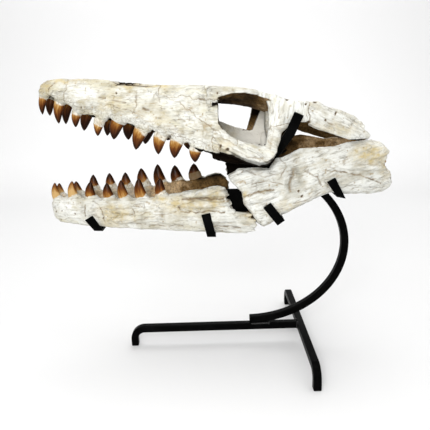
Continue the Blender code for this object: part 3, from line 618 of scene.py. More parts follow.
def side_marks(kind, co, normals):
    """Cracks, ridges, holes and coloured zones on the outer faces of both sides."""
    values = {key: np.zeros(len(co)) for key in ("lift", "dirt", "tan", "grey", "white")}
    facing = np.clip((normals[:, 1] * np.sign(co[:, 1]) - 0.05) * 3, 0, 1)
    shaky = co[:, [0, 2]] + joined(fractal(co, 6, 3, 61), fractal(co, 6, 3, 62)) * CRACK_SHAKE
    shaky[co[:, 1] > 0] += FAR_SIDE_SHIFT
    broken = np.clip(0.75 + 1.6 * fractal(co, 5, 2, 63), 0.1, 1)
    for wide, deep, dark, *line in MARKS[kind]:
        gap = line_distance(shaky, line)
        values["lift"] -= deep * np.exp(-(gap / wide) ** 2) * facing
        near = np.exp(-(gap / (STAINED_WIDTH * wide)) ** 2) * facing
        values["dirt"] = np.maximum(values["dirt"], dark * near * broken)
    for x, z, radius in HOLES[kind]:
        near = np.exp(-(np.hypot(shaky[:, 0] - x, shaky[:, 1] - z) / radius) ** 4) * facing
        values["lift"] -= HOLE_DEPTH * near
        values["dirt"] = np.maximum(values["dirt"], near)
    blurred = co[:, [0, 2]] + joined(fractal(co, 9, 3, 81), fractal(co, 9, 3, 82)) * ZONE_SHAKE
    for colour, strong, x, z, wide, high in ZONES[kind]:
        reach = np.hypot((blurred[:, 0] - x) / wide, (blurred[:, 1] - z) / high)
        near = np.clip(1.5 - reach, 0, 1) * strong * np.clip(facing + 0.6, 0, 1)
        values[colour] = np.maximum(values[colour], near)
    return values


def tooth_gaps(x, teeth):
    """From 0 at a tooth's root to 1 midway between two teeth."""
    held = np.zeros(len(x))
    for base, _, _, length, _, _ in teeth:
        held = np.maximum(held, np.exp(-(np.abs(x - base - 1.5) / (0.62 * length)) ** 4))
    inside_row = (x > teeth[0][0] - 4) & (x < teeth[-1][0] + 9)
    return (1 - held) * inside_row


def reshaped(kind, co):
    """Broad changes: scalloped tooth margins, sunken nostrils, worn ends and edges."""
    x, y, z = co.T.copy()
    near = y < 0
    if kind == "cranium":
        level = z + RISE_ACROSS * y
        middle, half = NARIS_BAR
        held = ((np.abs(y - middle) > half) & (y > NARIS_WIDTH[0]) & (y < NARIS_WIDTH[1])
                & (x > NARIS_RIM[0][0]) & (x < NARIS_RIM[-1][0]))
        rim = along(NARIS_RIM, x) - np.where(y > 0, 1.2, 0.0) + 0.1 * np.abs(y)
        z = np.where(held & (z > rim), rim + NARIS_DEPTH_KEPT * (z - rim), z)
        margin = np.clip(1 - (level - along(GUM, x)) / MARGIN, 0, 1)
        for side in (LEFT, RIGHT):
            gaps = tooth_gaps(x, UPPER_TEETH[side]) * (near == (side == LEFT))
            z = z + UPPER_SCALLOP * gaps * margin * (np.abs(y) > 3)
        tip, kept = SQUAMOSAL_TIP
        x = np.where(near & (x > tip), tip + (x - tip) * kept, x)
        x = x + np.where(x > 165, 2.0 * noise(joined(y / 6, z / 3.5, x / 9), 211), 0)
    if kind == "dentary":
        for side in (LEFT, RIGHT):
            margin = np.clip(1 - (along(DENTARY_TOP[side], x) - z) / MARGIN, 0, 1)
            gaps = tooth_gaps(x, LOWER_TEETH[side]) * (near == (side == LEFT))
            z = z - LOWER_SCALLOP[side] * gaps * margin
        torn = np.clip((x + 8) / 22, 0, 1)
        x = x + torn * 3.2 * noise(joined(x / 14, y / 6, z / 2.1), 212)
    if kind == "rear_jaw":
        end = np.clip((x - 188) / 14, 0, 1)
        x = x - end * (4.5 * bell(z, 248, 7) + 1.6 * (1 + noise(joined(x, y, z) / 4, 213)))
        front = np.clip((40 - x) / 20, 0, 1)
        x = x + front * 1.8 * noise(joined(x / 14, y / 6, z / 2.6), 214)
        z = z + np.where(near, 0, 4.5 * bell(x, 162, 17) * np.clip((z - 250) / 18, 0, 1))
    return joined(x, y, z)


def inner_brown_and_shade(kind, co, normals, bone, nodes):
    """How much of the matrix's brown, with painted shade over it, lies on the inner faces, and its
    tone from black to tan.

    The numbers are places on the skull as the photo shows them: along X, as a height, and for
    the cranium as a height in its level frame.
    """
    x, y, z = co.T
    medial = ramp(-normals[:, 1] * np.sign(y), 0.05, 0.6)
    mottle = 0.5 * fractal(co, 14, 3, 301)
    # the jaws' inner faces: the matrix's brown with painted shade over it
    if kind == "dentary":
        tone = 0.30 + 0.55 * ramp(x, -22, -52) - 0.35 * ramp(z, 221, 226) + 0.5 * mottle
        return medial * (0.38 + 0.62 * ramp(x, -88, -68) + 0.9 * mottle), tone
    if kind == "rear_jaw":
        return medial, 0.55 * ramp(x, 70, 125) + mottle * ramp(x, 70, 95)
    level = z + RISE_ACROSS * y
    down = ramp(-normals[:, 2], 0.1, 0.6)
    core = bone == nodes.index("braincase")
    far = y > 0
    # painted shade under the roof over the eye
    roof = down * ramp(level, 304, 312) * (x > -2)
    # painted shade between the upper rows of teeth
    within = ramp(along(SNOUT_HALF, x) - 7 - np.abs(y), 0, 3)
    palate = np.maximum(down, medial) * within * (x < 0)
    # painted shade on the braincase, apart from its pale front
    deep = core * ((x > 76) | (level < 268))
    low_core = core * (level < 268) * (x < 76)
    # painted shade on the walls of the nostrils
    naris = ((np.abs(y) < 16) & (z < 346.5) & (z > 330) & (np.abs(x + 93) < 20)
             & (np.abs(normals[:, 1]) > 0.4))
    # painted shadow under the cheeks, and on the far cheek's lower inner face
    under = down * (level < 275) * (x > -22)
    low_cheek = np.maximum(medial, down) * ramp(level, 269, 266) * (x > -24) * (x < 90) * far
    # painted shade on the inner faces of the bars behind the eye
    bar = medial * (x > 82) * (level > 268)
    # painted shade in a band up the far strut
    band_end = 63 - 0.42 * (315 - level)
    band = medial * ramp(x, band_end, band_end - 3) * (
        (level > 289) & (level < 322) & (x > 38) & far)
    # painted shade on the eye opening's front rim
    rim = ramp(normals[:, 0], 0.3, 0.8) * (np.abs(x - 3) < 7) * (np.abs(level - 312) < 24)
    amount = np.maximum.reduce([roof, palate, deep, under, 0.9 * bar, band, low_cheek, 0.9 * rim,
                                1.0 * naris])
    # the lowest tones, near black, are painted shadow
    tone = 0.13 + 0.5 * mottle + 0.5 * roof * ramp(x, 44, 58)
    tone = np.where(palate > 0.5, 0.02, tone)
    tone = np.where(np.maximum.reduce([under, low_cheek, low_core]) > 0.3, 0.0, tone)
    tone = np.where(naris, 0.12, tone)
    tone = np.where(bar > 0.3, 0.30 + 0.4 * mottle, tone)
    return amount, np.where(band > 0.3, 0.6 * ramp(level, 310, 290), tone)


def sculpt(name, mesh, tree):
    """Grain, cracks, swellings and hollows in a body's surface, split into its bones."""
    kind = name.replace("_left", "").replace("_right", "")
    skull = kind == "cranium"
    co, normals, faces = coordinates(mesh), normals_of(mesh), faces_of(mesh)
    co = reshaped(kind, co)
    x, y, z = co.T
    level = z + RISE_ACROSS * y
    nodes = BODIES[name]
    owner = bone_of(co[faces].mean(axis=1)) if skull else np.zeros(len(faces), int)
    bone = np.zeros(len(co), int)
    bone[faces.ravel()] = np.repeat(owner, 4)
    angle = np.radians([BONES[n][0] for n in nodes])[bone]
    run = x * np.cos(angle) + z * np.sin(angle)
    rise = -x * np.sin(angle) + z * np.cos(angle)
    swell = fractal(co, 26, 2, 3)
    ridges = fractal(joined(run / 7, y / 1.3, rise), 2.4, 2, 11)
    knots = fractal(co, 5.5, 3, 29)
    pits = np.clip(noise(co / 3.1, 71) - PIT_START, 0, 1) * PIT_DEPTH
    marks = side_marks(kind, co, normals)
    rough = 1.0 if skull else JAW_ROUGHNESS
    lift = SWELL * swell + rough * (RIDGES * ridges + KNOTS * knots) - pits + marks["lift"]
    lift += WORN_OFF * ramp(x, -206, -192)
    porous = bell(level, along(GUM, x) + 3, 8) * (x < 5) if skull else np.zeros(len(co))
    lift += porous * POROUS_RISE * (1 + fractal(co, 3.4, 2, 131))
    if kind == "dentary":
        plates = np.tanh(5 * noise(joined(run / 34, y / 12, rise / 5.2), 161))
        split = ramp(x, -52, -25) * ramp(z, 188, 196)
        lift += PLATES * plates * split
        marks["dirt"] = np.maximum(marks["dirt"], 0.55 * bell(plates, 0, 0.3) * split)
    lowest, highest = np.full(len(co), len(nodes)), np.full(len(co), -1)
    np.minimum.at(lowest, faces.ravel(), np.repeat(owner, 4))
    np.maximum.at(highest, faces.ravel(), np.repeat(owner, 4))
    seam = (lowest != highest) * 1.0
    lift -= SEAM_DEPTH * seam
    moved = co + normals * lift[:, None]
    edges = np.empty(len(mesh.edges) * 2, np.int64)
    mesh.edges.foreach_get("vertices", edges)
    inward = np.einsum("ij,ij->i", smoothed(moved, edges.reshape(-1, 2), 5) - moved, normals)
    inner, tone = inner_brown_and_shade(kind, co, normals, bone, nodes)
    # How open each point lies: where it is low the material lays painted shade in the matrix's
    # brown; the cheeks are held half open so that they stay pale.
    cheek = (np.abs(y) > 36) & (level < 322) & (x > -5) & skull
    opened = np.maximum(openness(co, normals, tree), np.where(cheek & (inner < 0.2), 0.6, 0))
    # painted light: the far cheek's inner faces, seen through the eye, made a pale cream
    painted_light = (cheek & (inner < 0.3) & (y > 0)) * ramp(-normals[:, 1], 0.1, 0.5)
    painted_light = painted_light * ramp(x, 80, 76)
    tan_patch = bell(x, 19, 16)  # low on the far cheek
    facts = {"painted_light": painted_light * (1.0 - 0.6 * tan_patch),
             # hollow: painted shade in hollows and pits
             "hollow": np.clip(inward * 2.2, 0, 1) + pits * 0.6,
             "tan": np.maximum(marks["tan"], 0.8 * painted_light * tan_patch),
             "dirt": marks["dirt"], "grey": marks["grey"], "white": marks["white"],
             "seam": seam * np.clip(0.5 + fractal(co, 8, 2, 91), 0, 1),
             "open": opened, "inner": inner, "tone": tone, "porous": porous}
    return {node: bone_piece(node, moved, faces[owner == number], facts)
            for number, node in enumerate(nodes)}


def bone_piece(node, co, faces, facts):
    """One bone's object from its faces of a body, with the facts that its material reads."""
    used, renumbered = np.unique(faces, return_inverse=True)
    mesh = bpy.data.meshes.new(f"bone_{node}")
    mesh.from_pydata((co[used] * MM).tolist(), [], renumbered.reshape(-1, 4).tolist())
    mesh.update()
    for key, values in facts.items():
        store(mesh, key, values[used])
    mesh.shade_smooth()
    return link(bpy.data.objects.new(f"bone_{node}", mesh))


# ---- teeth


def tooth_rings(base, tip, length, bare):
    """A recurved tooth from its root in the jaw to its tip, with the crown's share at each ring."""
    base, tip = Vector(base), Vector(tip)
    axis = (tip - base).normalized()
    rearward = (Vector((1, 0, 0)) - axis * axis.x).normalized()
    across = axis.cross(rearward)
    height = (tip - base).length
    rings, crowns = [], []
    for i in range(TOOTH_STEPS + 1):
        share = -ROOT_SHARE + (1 + ROOT_SHARE) * i / TOOTH_STEPS
        up = min(max(share, 0), 1)
        drawn_in = NECK * max(0, 1 - up / NECK_HEIGHT) ** 2
        size = max(TIP_SIZE, (1 - up ** TOOTH_FULLNESS) ** TOOTH_TAPER * (1 - drawn_in))
        if share < bare:
            size *= ROOT_SWELL
        centre = base + axis * (height * share)
        centre -= rearward * (TOOTH_CURVE * height * math.sin(math.pi * up))
        ring = []
        for k in range(TOOTH_SIDES):
            a = math.tau * k / TOOTH_SIDES
            x, y = math.cos(a), math.sin(a)
            keel = 1 + TOOTH_KEEL * abs(x) ** 6
            ring.append(centre + rearward * (size * length / 2 * x * keel)
                        + across * (size * length * TOOTH_WIDTH_TO_LENGTH / 2 * y))
        rings.append(ring)
        crowns.append((share - bare) / max(0.05, 1 - bare))
    return rings, crowns


def tooth_row(name, teeth, gum, row, lean, side, matrix=Matrix()):
    """One jaw bone's teeth, each a closed body, with the enamel's place and darkness stored."""
    bm = bmesh.new()
    layers = {key: bm.verts.layers.float.new(key)
              for key in ("crown", "dark", "rear", "side", "length")}
    for number, (base_x, tip_x, tip_z, length, bare, dark) in enumerate(teeth):
        y = side * row(base_x)
        rings, crowns = tooth_rings((base_x, y, gum(base_x)), (tip_x, y + side * lean, tip_z),
                                    length, bare)
        first = len(bm.verts)
        ring_body(bm, [[matrix @ p for p in ring] for ring in rings])
        bm.verts.ensure_lookup_table()
        for i, vert in enumerate(bm.verts[first:]):
            turn = math.tau * (i % TOOTH_SIDES) / TOOTH_SIDES
            crown = crowns[i // TOOTH_SIDES]
            slope = -0.11 * math.cos(turn) * (1 - crown) + 0.04 * math.sin(2 * turn + number)
            vert[layers["crown"]] = min(1, max(0, 0.5 + 0.5 * (crown + slope)))
            vert[layers["dark"]] = dark
            vert[layers["rear"]] = 0.5 + 0.5 * math.cos(turn)
            vert[layers["side"]] = 0.5 + 0.5 * math.sin(turn)
            vert[layers["length"]] = 0.5 * crown + 3.7 * number
            if crown < 0.05:
                worn = ROOT_WEAR * noise(np.array([vert.co]) / 3.0, 501)[0]
                vert.co += Vector((worn, side * worn, 0))
    obj = mesh_object(name, bm)
    obj.data.shade_smooth()
    return obj


def all_teeth():
    """Each row of teeth with the node that it belongs to."""
    def gum(x):
        return along(GUM, x)

    def row(x):
        return along(SNOUT_HALF, x) - ROW_INSET

    def jaw_row(x):
        return (along(JAW_IN, x) + along(JAW_OUT, x)) / 2

    rows = {}
    for side, tag in SIDES:
        front, rear = (UPPER_TEETH[side][:PREMAXILLA_TEETH], UPPER_TEETH[side][PREMAXILLA_TEETH:])
        top = DENTARY_TOP[side]
        for kind, node, teeth, *place in (
                ("premaxilla", "premaxilla", front, gum, row, -1.0, side, LEVEL),
                ("maxilla", f"maxilla_{tag}", rear, gum, row, -1.0, side, LEVEL),
                ("dentary", f"dentary_{tag}", LOWER_TEETH[side],
                 lambda x, t=top: along(t, x) - 1, jaw_row, 0.5, side)):
            name = f"teeth_{kind}_{tag}"
            rows[name] = (node, tooth_row(name, teeth, *place))
    return rows


# ---- the steel bars


def bend(corner, start, end):
    """Points round a bend at a corner, from the side of start to the side of end."""
    corner, start, end = Vector(corner), Vector(start), Vector(end)
    one, other = (start - corner).normalized(), (end - corner).normalized()
    centre = corner + (one + other) * BEND_RADIUS
    return [centre - other * BEND_RADIUS * math.cos(a) - one * BEND_RADIUS * math.sin(a)
            for a in (math.pi / 2 * i / BEND_STEPS for i in range(BEND_STEPS + 1))]


def square_bar(name, path, place):
    """A square bar with rounded edges along a path of 2D points."""
    points = [Vector(p) for p in path]
    rings = []
    for i, point in enumerate(points):
        into = (point - points[i - 1]).normalized() if i else (points[1] - point).normalized()
        out = (points[i + 1] - point).normalized() if i + 1 < len(points) else into
        normal = Vector((-(into + out).y, (into + out).x)).normalized()
        rings.append([place(point + normal * (a * BAR / 2), b * BAR / 2)
                      for a, b in ((1, -1), (1, 1), (-1, 1), (-1, -1))])
    bm = bmesh.new()
    ring_body(bm, rings)
    obj = mesh_object(name, bm)
    soften(obj, *BAR_EDGE)
    return obj


def soften(obj, width, segments):
    """Rounds the edges and keeps the faces flat."""
    modifier = obj.modifiers.new("rounded edges", "BEVEL")
    modifier.width, modifier.segments = width * MM, segments
    modifier.limit_method, modifier.angle_limit = "ANGLE", EDGE_ANGLE
    for polygon in obj.data.polygons:
        polygon.use_smooth = True
    weighted = obj.modifiers.new("flat faces", "WEIGHTED_NORMAL")
    weighted.keep_sharp = True


def draw_up(obj):
    """Closes most of the gap between a clip's lower run and the bone above it."""
    low, high = (f(v.co.z for v in obj.data.vertices) for f in (min, max))
    for vert in obj.data.vertices:
        vert.co.z += CLIP_DRAWN_UP * MM * (high - vert.co.z) / (high - low)


def stand_bars():
    """The long leg, the cross bar and the arc along their paths, and the flat steel as it is."""
    half = BAR / 2
    high = BAR_TOP_Z - half
    foot, hub = (STEM_FOOT_X, 0), (HUB_X - half - GAP, high)
    stem = [foot] + bend((STEM_FOOT_X, high), foot, hub) + [hub]
    made = {"stand_stem": square_bar("steel_stem", stem, lambda p, w: Vector((p.x, w, p.y)))}
    foot_y = CROSS_HALF - half
    near, far = (-foot_y, 0), (foot_y, 0)
    left, right = (-foot_y, high), (foot_y, high)
    cross = [near] + bend(left, near, right) + bend(right, left, far) + [far]
    made["stand_cross_bar"] = square_bar("steel_cross_bar", cross,
                                         lambda p, w: Vector((HUB_X + w, p.x, p.y)))
    centre_z = BAR_TOP_Z + GAP + half + ARC_RADIUS_Z
    last = math.asin((ARC_TOP_Z - centre_z) / ARC_RADIUS_Z)
    arc = []
    for i in range(ARC_STEPS + 1):
        angle = -math.pi / 2 + (last + math.pi / 2) * i / ARC_STEPS
        arc.append((ARC_CENTRE_X + ARC_RADIUS_X * math.cos(angle),
                    centre_z + ARC_RADIUS_Z * math.sin(angle)))
    made["stand_arc"] = square_bar("steel_arc", arc, lambda p, w: Vector((p.x, w, p.y)))
    for node in STEEL_NODES:
        bm = solid_of(node)
        bmesh.ops.dissolve_limit(bm, angle_limit=FLAT_ANGLE, verts=bm.verts, edges=bm.edges)
        obj = mesh_object(node.replace("stand", "steel"), bm, 1.0)
        if "clip" in node:
            draw_up(obj)
        soften(obj, *STRIP_EDGE)
        made[node] = obj
    return made


def weld(name, start, end, seed):
    """A bead of overlapping drops between two points, all melted into one body."""
    start, end = Vector(start), Vector(end)
    count = max(2, round((end - start).length / (DROP_SPACING * WELD_RADIUS)))
    bm = bmesh.new()
    for i in range(count + 1):
        wobble = noise(np.array([[i * 1.7, j * 3.1, 0.3] for j in range(3)]), seed)
        at = start.lerp(end, i / count) + Vector(wobble) * DROP_WANDER * WELD_RADIUS
        radius = WELD_RADIUS * (1 + DROP_UNEVEN * wobble[0])
        bmesh.ops.create_icosphere(bm, subdivisions=3, radius=radius,
                                   matrix=Matrix.Translation(at))
    obj = mesh_object(name, bm)
    remesh = obj.modifiers.new("melted", "REMESH")
    remesh.mode, remesh.voxel_size, remesh.use_smooth_shade = "VOXEL", WELD_VOXEL * MM, True
    smooth = obj.modifiers.new("flow", "SMOOTH")
    smooth.factor, smooth.iterations = 0.5, 2
    return obj


def welds():
    """The beads at the arc's foot and where the long leg meets the cross bar."""
    corner_x, top = HUB_X - BAR / 2, BAR_TOP_Z
    start_x, end_x = (ARC_CENTRE_X + along_foot for along_foot in ARC_WELD)
    made = []
    for side, tag in ((LEFT, "near"), (RIGHT, "far")):
        y = side * (BAR / 2 + WELD_OUT)
        made.append(weld(f"steel_weld_arc_{tag}", (start_x, y, top), (end_x, y, top), 601))
        made.append(weld(f"steel_weld_hub_{tag}", (corner_x, y, top - BAR + 1),
                         (corner_x, y, top - 1), 602))
    return made


# ---- materials


class Nodes:
    """A material's node tree, built one node at a time, and the colour laid on so far."""

    def __init__(self, name):
        self.material = bpy.data.materials.new(name)
        self.material.use_nodes = True
        self.tree = self.material.node_tree
        self.shader = self.tree.nodes["Principled BSDF"]
        self.colour = None

    def put(self, value, socket):
        """Links another node's output to the socket, or gives the socket a plain value."""
        if isinstance(value, bpy.types.NodeSocket):
            self.tree.links.new(value, socket)
        else:
            socket.default_value = value

    def set(self, **inputs):
        """Gives the shader's inputs their values, with _ in place of a space in their names."""
        for key, value in inputs.items():
            self.put(value, self.shader.inputs[key.replace("_", " ")])

    def add(self, kind, inputs=(), **settings):
        """A new node with its settings and inputs."""
        node = self.tree.nodes.new(kind)
        for key, value in settings.items():
            setattr(node, key, value)
        for key, value in dict(inputs).items():
            self.put(value, node.inputs[key])
        return node

    def math(self, operation, a, b):
        return self.add("ShaderNodeMath", {0: a, 1: b}, operation=operation).outputs[0]

    def plus(self, a, b):
        return self.math("ADD", a, b)

    def less(self, a, b):
        return self.math("SUBTRACT", a, b)

    def times(self, a, b):
        return self.math("MULTIPLY", a, b)

    def span(self, value, low, high, to_low=0.0, to_high=1.0):
        """value from low..high brought to to_low..to_high and held there."""
        node = self.add("ShaderNodeMapRange", {"Value": value, "From Min": low, "From Max": high,
                                               "To Min": to_low, "To Max": to_high})
        return node.outputs["Result"]

    def mix(self, factor, a, b):
        """a where the factor is 0 and b where it is 1."""
        node = self.add("ShaderNodeMix", {"Factor": factor, 6: a, 7: b}, data_type="RGBA",
                        clamp_factor=True)
        return node.outputs[2]

    def lay(self, factor, over):
        """Lays another colour over what is there."""
        self.colour = self.mix(factor, self.colour, over)

    def place(self, tilt=0.0, stretch=1.0, shift=(0.0, 0.0, 0.0)):
        """The object's own coordinates, turned to the grain and stretched along it."""
        coords = self.add("ShaderNodeTexCoord").outputs["Object"]
        turned = self.add("ShaderNodeVectorRotate", {"Vector": coords, "Angle": math.radians(tilt)},
                          rotation_type="Y_AXIS").outputs["Vector"]
        mapping = self.add("ShaderNodeMapping", {"Vector": turned, "Location": shift,
                                                 "Scale": (stretch, 1.0, 1.0)})
        return mapping.outputs["Vector"]

    def noise(self, vector, scale, detail=3.0, rough=0.55):
        """Soft noise around 0.5."""
        node = self.add("ShaderNodeTexNoise", {"Vector": vector, "Scale": scale, "Detail": detail,
                                               "Roughness": rough})
        return node.outputs["Fac"]

    def cells(self, vector, scale, feature="F1"):
        """The distance to a random cell's middle, or to its edge."""
        node = self.add("ShaderNodeTexVoronoi", {"Vector": vector, "Scale": scale},
                        feature=feature)
        return node.outputs["Distance"]

    def warped(self, vector, scale, amount):
        """The vector pushed about by noise, so that lines through it wander."""
        push = self.add("ShaderNodeTexNoise", {"Vector": vector, "Scale": scale, "Detail": 3.0})
        centred = self.add("ShaderNodeVectorMath", {0: push.outputs["Color"],
                                                    1: (0.5, 0.5, 0.5)}, operation="SUBTRACT")
        scaled = self.add("ShaderNodeVectorMath", {0: centred.outputs[0], "Scale": amount},
                          operation="SCALE")
        return self.add("ShaderNodeVectorMath", {0: vector, 1: scaled.outputs[0]},
                        operation="ADD").outputs[0]

    def attribute(self, name):
        """What store() kept with the mesh."""
        return self.add("ShaderNodeAttribute", attribute_name=name).outputs["Fac"]

    def bump(self, height, strength, distance):
        """Fine relief from a height, straight into the shader."""
        node = self.add("ShaderNodeBump", {"Height": height, "Strength": strength,
                                           "Distance": distance})
        self.set(Normal=node.outputs["Normal"])


# Colours in linear light.
CREAM = (0.56, 0.52, 0.365, 1)
CHALK = (0.70, 0.705, 0.665, 1)
PALE = (0.53, 0.515, 0.44, 1)
TAN = (0.32, 0.24, 0.13, 1)
OLD_IVORY = (0.36, 0.315, 0.205, 1)
GREY = (0.33, 0.32, 0.27, 1)
UMBER = (0.13, 0.088, 0.047, 1)
SOIL = (0.045, 0.026, 0.012, 1)
AMBER = (0.52, 0.43, 0.235, 1)
# near black serves as painted shadow in the deepest places, and for the dark veins
NEAR_BLACK = (0.004, 0.002, 0.001, 1)
ROCK_BROWN = (0.165, 0.095, 0.034, 1)
ROCK_TAN = (0.62, 0.44, 0.25, 1)
# painted light for the far cheek's inner faces
PAINTED_LIGHT_CREAM = (0.92, 0.89, 0.80, 1)
WHITE = (0.76, 0.765, 0.74, 1)

# Stains along the bone's grain, in the order that they are laid: how far they stretch, where the
# noise is read, its scale, detail and roughness, from where to where it shows, how strongly, how
# the bone's warmth moves the start and the strength, and the colour.
UNDER_ZONES = (
    (0.5, (3.1, 0.0, 1.7), 60.0, 5.0, 0.6, 0.54, 0.72, 0.85, -0.1, 0.0, CREAM),
    (0.6, (5.3, 1.0, 9.1), 95.0, 5.0, 0.6, 0.47, 0.66, 0.6, 0.0, 0.5, OLD_IVORY),
)
OVER_ZONES = (
    (0.16, (0.0, 0.0, 0.0), 420.0, 4.0, 0.6, 0.50, 0.70, 0.7, 0.0, 0.0, GREY),
    (0.35, (7.7, 2.0, 5.1), 130.0, 6.0, 0.65, 0.60, 0.72, 0.8, -0.06, 0.0, TAN),
)
GRAIN_STRETCH = 0.16
PALE_SHARE = 0.45
CRACK_STRENGTH, FINE_CRACK_STRENGTH, FLECK_STRENGTH, PORE_STRENGTH = 0.45, 0.5, 0.8, 0.55
BONE_ROUGHNESS, BONE_SHINE, ROCK_SHINE = 0.75, 0.25, 0.04
BONE_BUMP = (0.8, 0.0012)


def stain(n, tilt, warmth, rows):
    """Lays each row of a table of stains over the bone."""
    for stretch, shift, scale, detail, rough, low, high, strong, sooner, stronger, over in rows:
        patches = n.noise(n.place(tilt, stretch, shift), scale, detail, rough)
        n.lay(n.span(patches, low + sooner * warmth, high, 0.0,
                     strong + stronger * max(warmth, 0)), over)


def matrix_and_shade_colour(n, plain):
    """The colour of the matrix and of painted shade: near black at the lowest tones, then brown and
    tan, with dark veins.
    """
    kept = n.attribute("tone")
    uneven = n.less(n.noise(plain, 150.0, 5.0, 0.65), 0.5)
    tone = n.plus(kept, n.times(uneven, n.span(kept, 0.0, 0.5, 0.1, 0.9)))
    colour = n.mix(n.span(tone, 0.0, 0.45), NEAR_BLACK, ROCK_BROWN)
    colour = n.mix(n.span(tone, 0.45, 0.95), colour, ROCK_TAN)
    veins = n.noise(plain, 380.0, 5.0, 0.7)
    return n.mix(n.span(veins, 0.46, 0.66, 0.0, 0.65), colour, NEAR_BLACK)


def bone_material(name, tilt, warmth):
    """Chalky bone, stained along its grain, with the matrix's brown and painted shade where it is
    closed in or on an inner face.
    """
    n = Nodes(name)
    plain = n.place()
    grain = n.place(tilt, GRAIN_STRETCH)
    share = min(1, max(0, PALE_SHARE + warmth))
    pale = [cold + (warm - cold) * share for cold, warm in zip(CHALK, PALE)]
    n.colour = n.mix(n.span(n.noise(plain, 26.0, 4.0), 0.38, 0.62), pale, CHALK)
    stain(n, tilt, warmth, UNDER_ZONES)
    uneven = n.span(n.noise(plain, 170.0, 4.0), 0.35, 0.65, 0.3, 1.3)
    for zone, over in (("white", WHITE), ("tan", AMBER), ("grey", GREY)):
        n.lay(n.times(n.attribute(zone), uneven), over)
    stain(n, tilt, warmth, OVER_ZONES)
    flecks = n.noise(n.place(tilt, 0.4, (1.3, 4.0, 2.2)), 480.0, 3.0, 0.7)
    fleck = n.times(n.span(flecks, 0.60, 0.74), n.span(n.noise(plain, 70.0, 3.0), 0.42, 0.62))
    n.lay(n.times(fleck, FLECK_STRENGTH), TAN)
    porous = n.times(n.span(n.cells(plain, 620.0), 0.42, 0.16), n.attribute("porous"))
    n.lay(n.times(porous, PORE_STRENGTH), TAN)
    cells = n.cells(n.warped(n.place(tilt, 0.45), 90.0, 0.02), 60.0, "DISTANCE_TO_EDGE")
    crack = n.times(n.span(cells, 0.0, 0.03, 1, 0), n.span(n.noise(plain, 45.0, 3.0), 0.56, 0.68))
    fine_cells = n.cells(n.warped(grain, 160.0, 0.006), 300.0, "DISTANCE_TO_EDGE")
    fine = n.times(n.span(fine_cells, 0.0, 0.06, 1.0, 0.0),
                   n.span(n.noise(plain, 80.0, 2.0), 0.48, 0.62))
    n.lay(n.times(fine, FINE_CRACK_STRENGTH), UMBER)
    n.lay(n.times(crack, CRACK_STRENGTH), UMBER)
    # The first row lays painted shade in tan in hollows and pits, the last painted light on the far
    # cheek; seams and dirt are the bone's own.
    for fact, low, high, strong, over in (
            ("hollow", 0.1, 0.9, 0.75, TAN), ("seam", 0.2, 1.0, 0.55, UMBER),
            ("dirt", 0.0, 0.6, 0.8, UMBER), ("dirt", 0.6, 1.0, 1.0, SOIL),
            ("painted_light", 0.0, 1.0, 1.0, PAINTED_LIGHT_CREAM)):
        n.lay(n.span(n.attribute(fact), low, high, 0.0, strong), over)
    streaks = n.noise(grain, 420.0, 4.0, 0.6)
    # painted shade: the matrix's brown, down to near black, where a point is closed in or lies on
    # an inner face
    opened = n.span(n.attribute("open"), 0.42, 0.12)
    inner = n.span(n.plus(n.attribute("inner"), n.times(streaks, 0.3)), 0.35, 0.85)
    brown_and_shade = n.math("MAXIMUM", opened, inner)
    n.lay(brown_and_shade, matrix_and_shade_colour(n, plain))
    height = n.plus(n.times(streaks, 0.8), n.times(n.span(n.cells(plain, 520.0), 0.0, 0.35), 0.35))
    height = n.less(n.less(height, crack), n.times(fine, 0.5))
    n.bump(n.less(height, porous), *BONE_BUMP)
    n.set(Base_Color=n.colour, Roughness=BONE_ROUGHNESS,
          Specular_IOR_Level=n.span(brown_and_shade, 0.0, 1.0, BONE_SHINE, ROCK_SHINE))
    return n.material


# From the base of a crown to its tip.
ENAMEL = ((0.50, 0.32, 0.13, 1), (0.29, 0.135, 0.030, 1), (0.135, 0.043, 0.008, 1),
          (0.062, 0.018, 0.004, 1), (0.020, 0.006, 0.0015, 1))
ENAMEL_STEP = 0.30
ROOT_WHITE, ROOT_TAN, ROOT_PORES = ((0.70, 0.68, 0.60, 1), (0.46, 0.39, 0.28, 1),
                                    (0.13, 0.095, 0.055, 1))
ENAMEL_SHINE, ENAMEL_ROUGHNESS, ROOT_ROUGHNESS = 0.08, 0.28, 0.7
TOOTH_BUMP = (0.4, 0.0006)


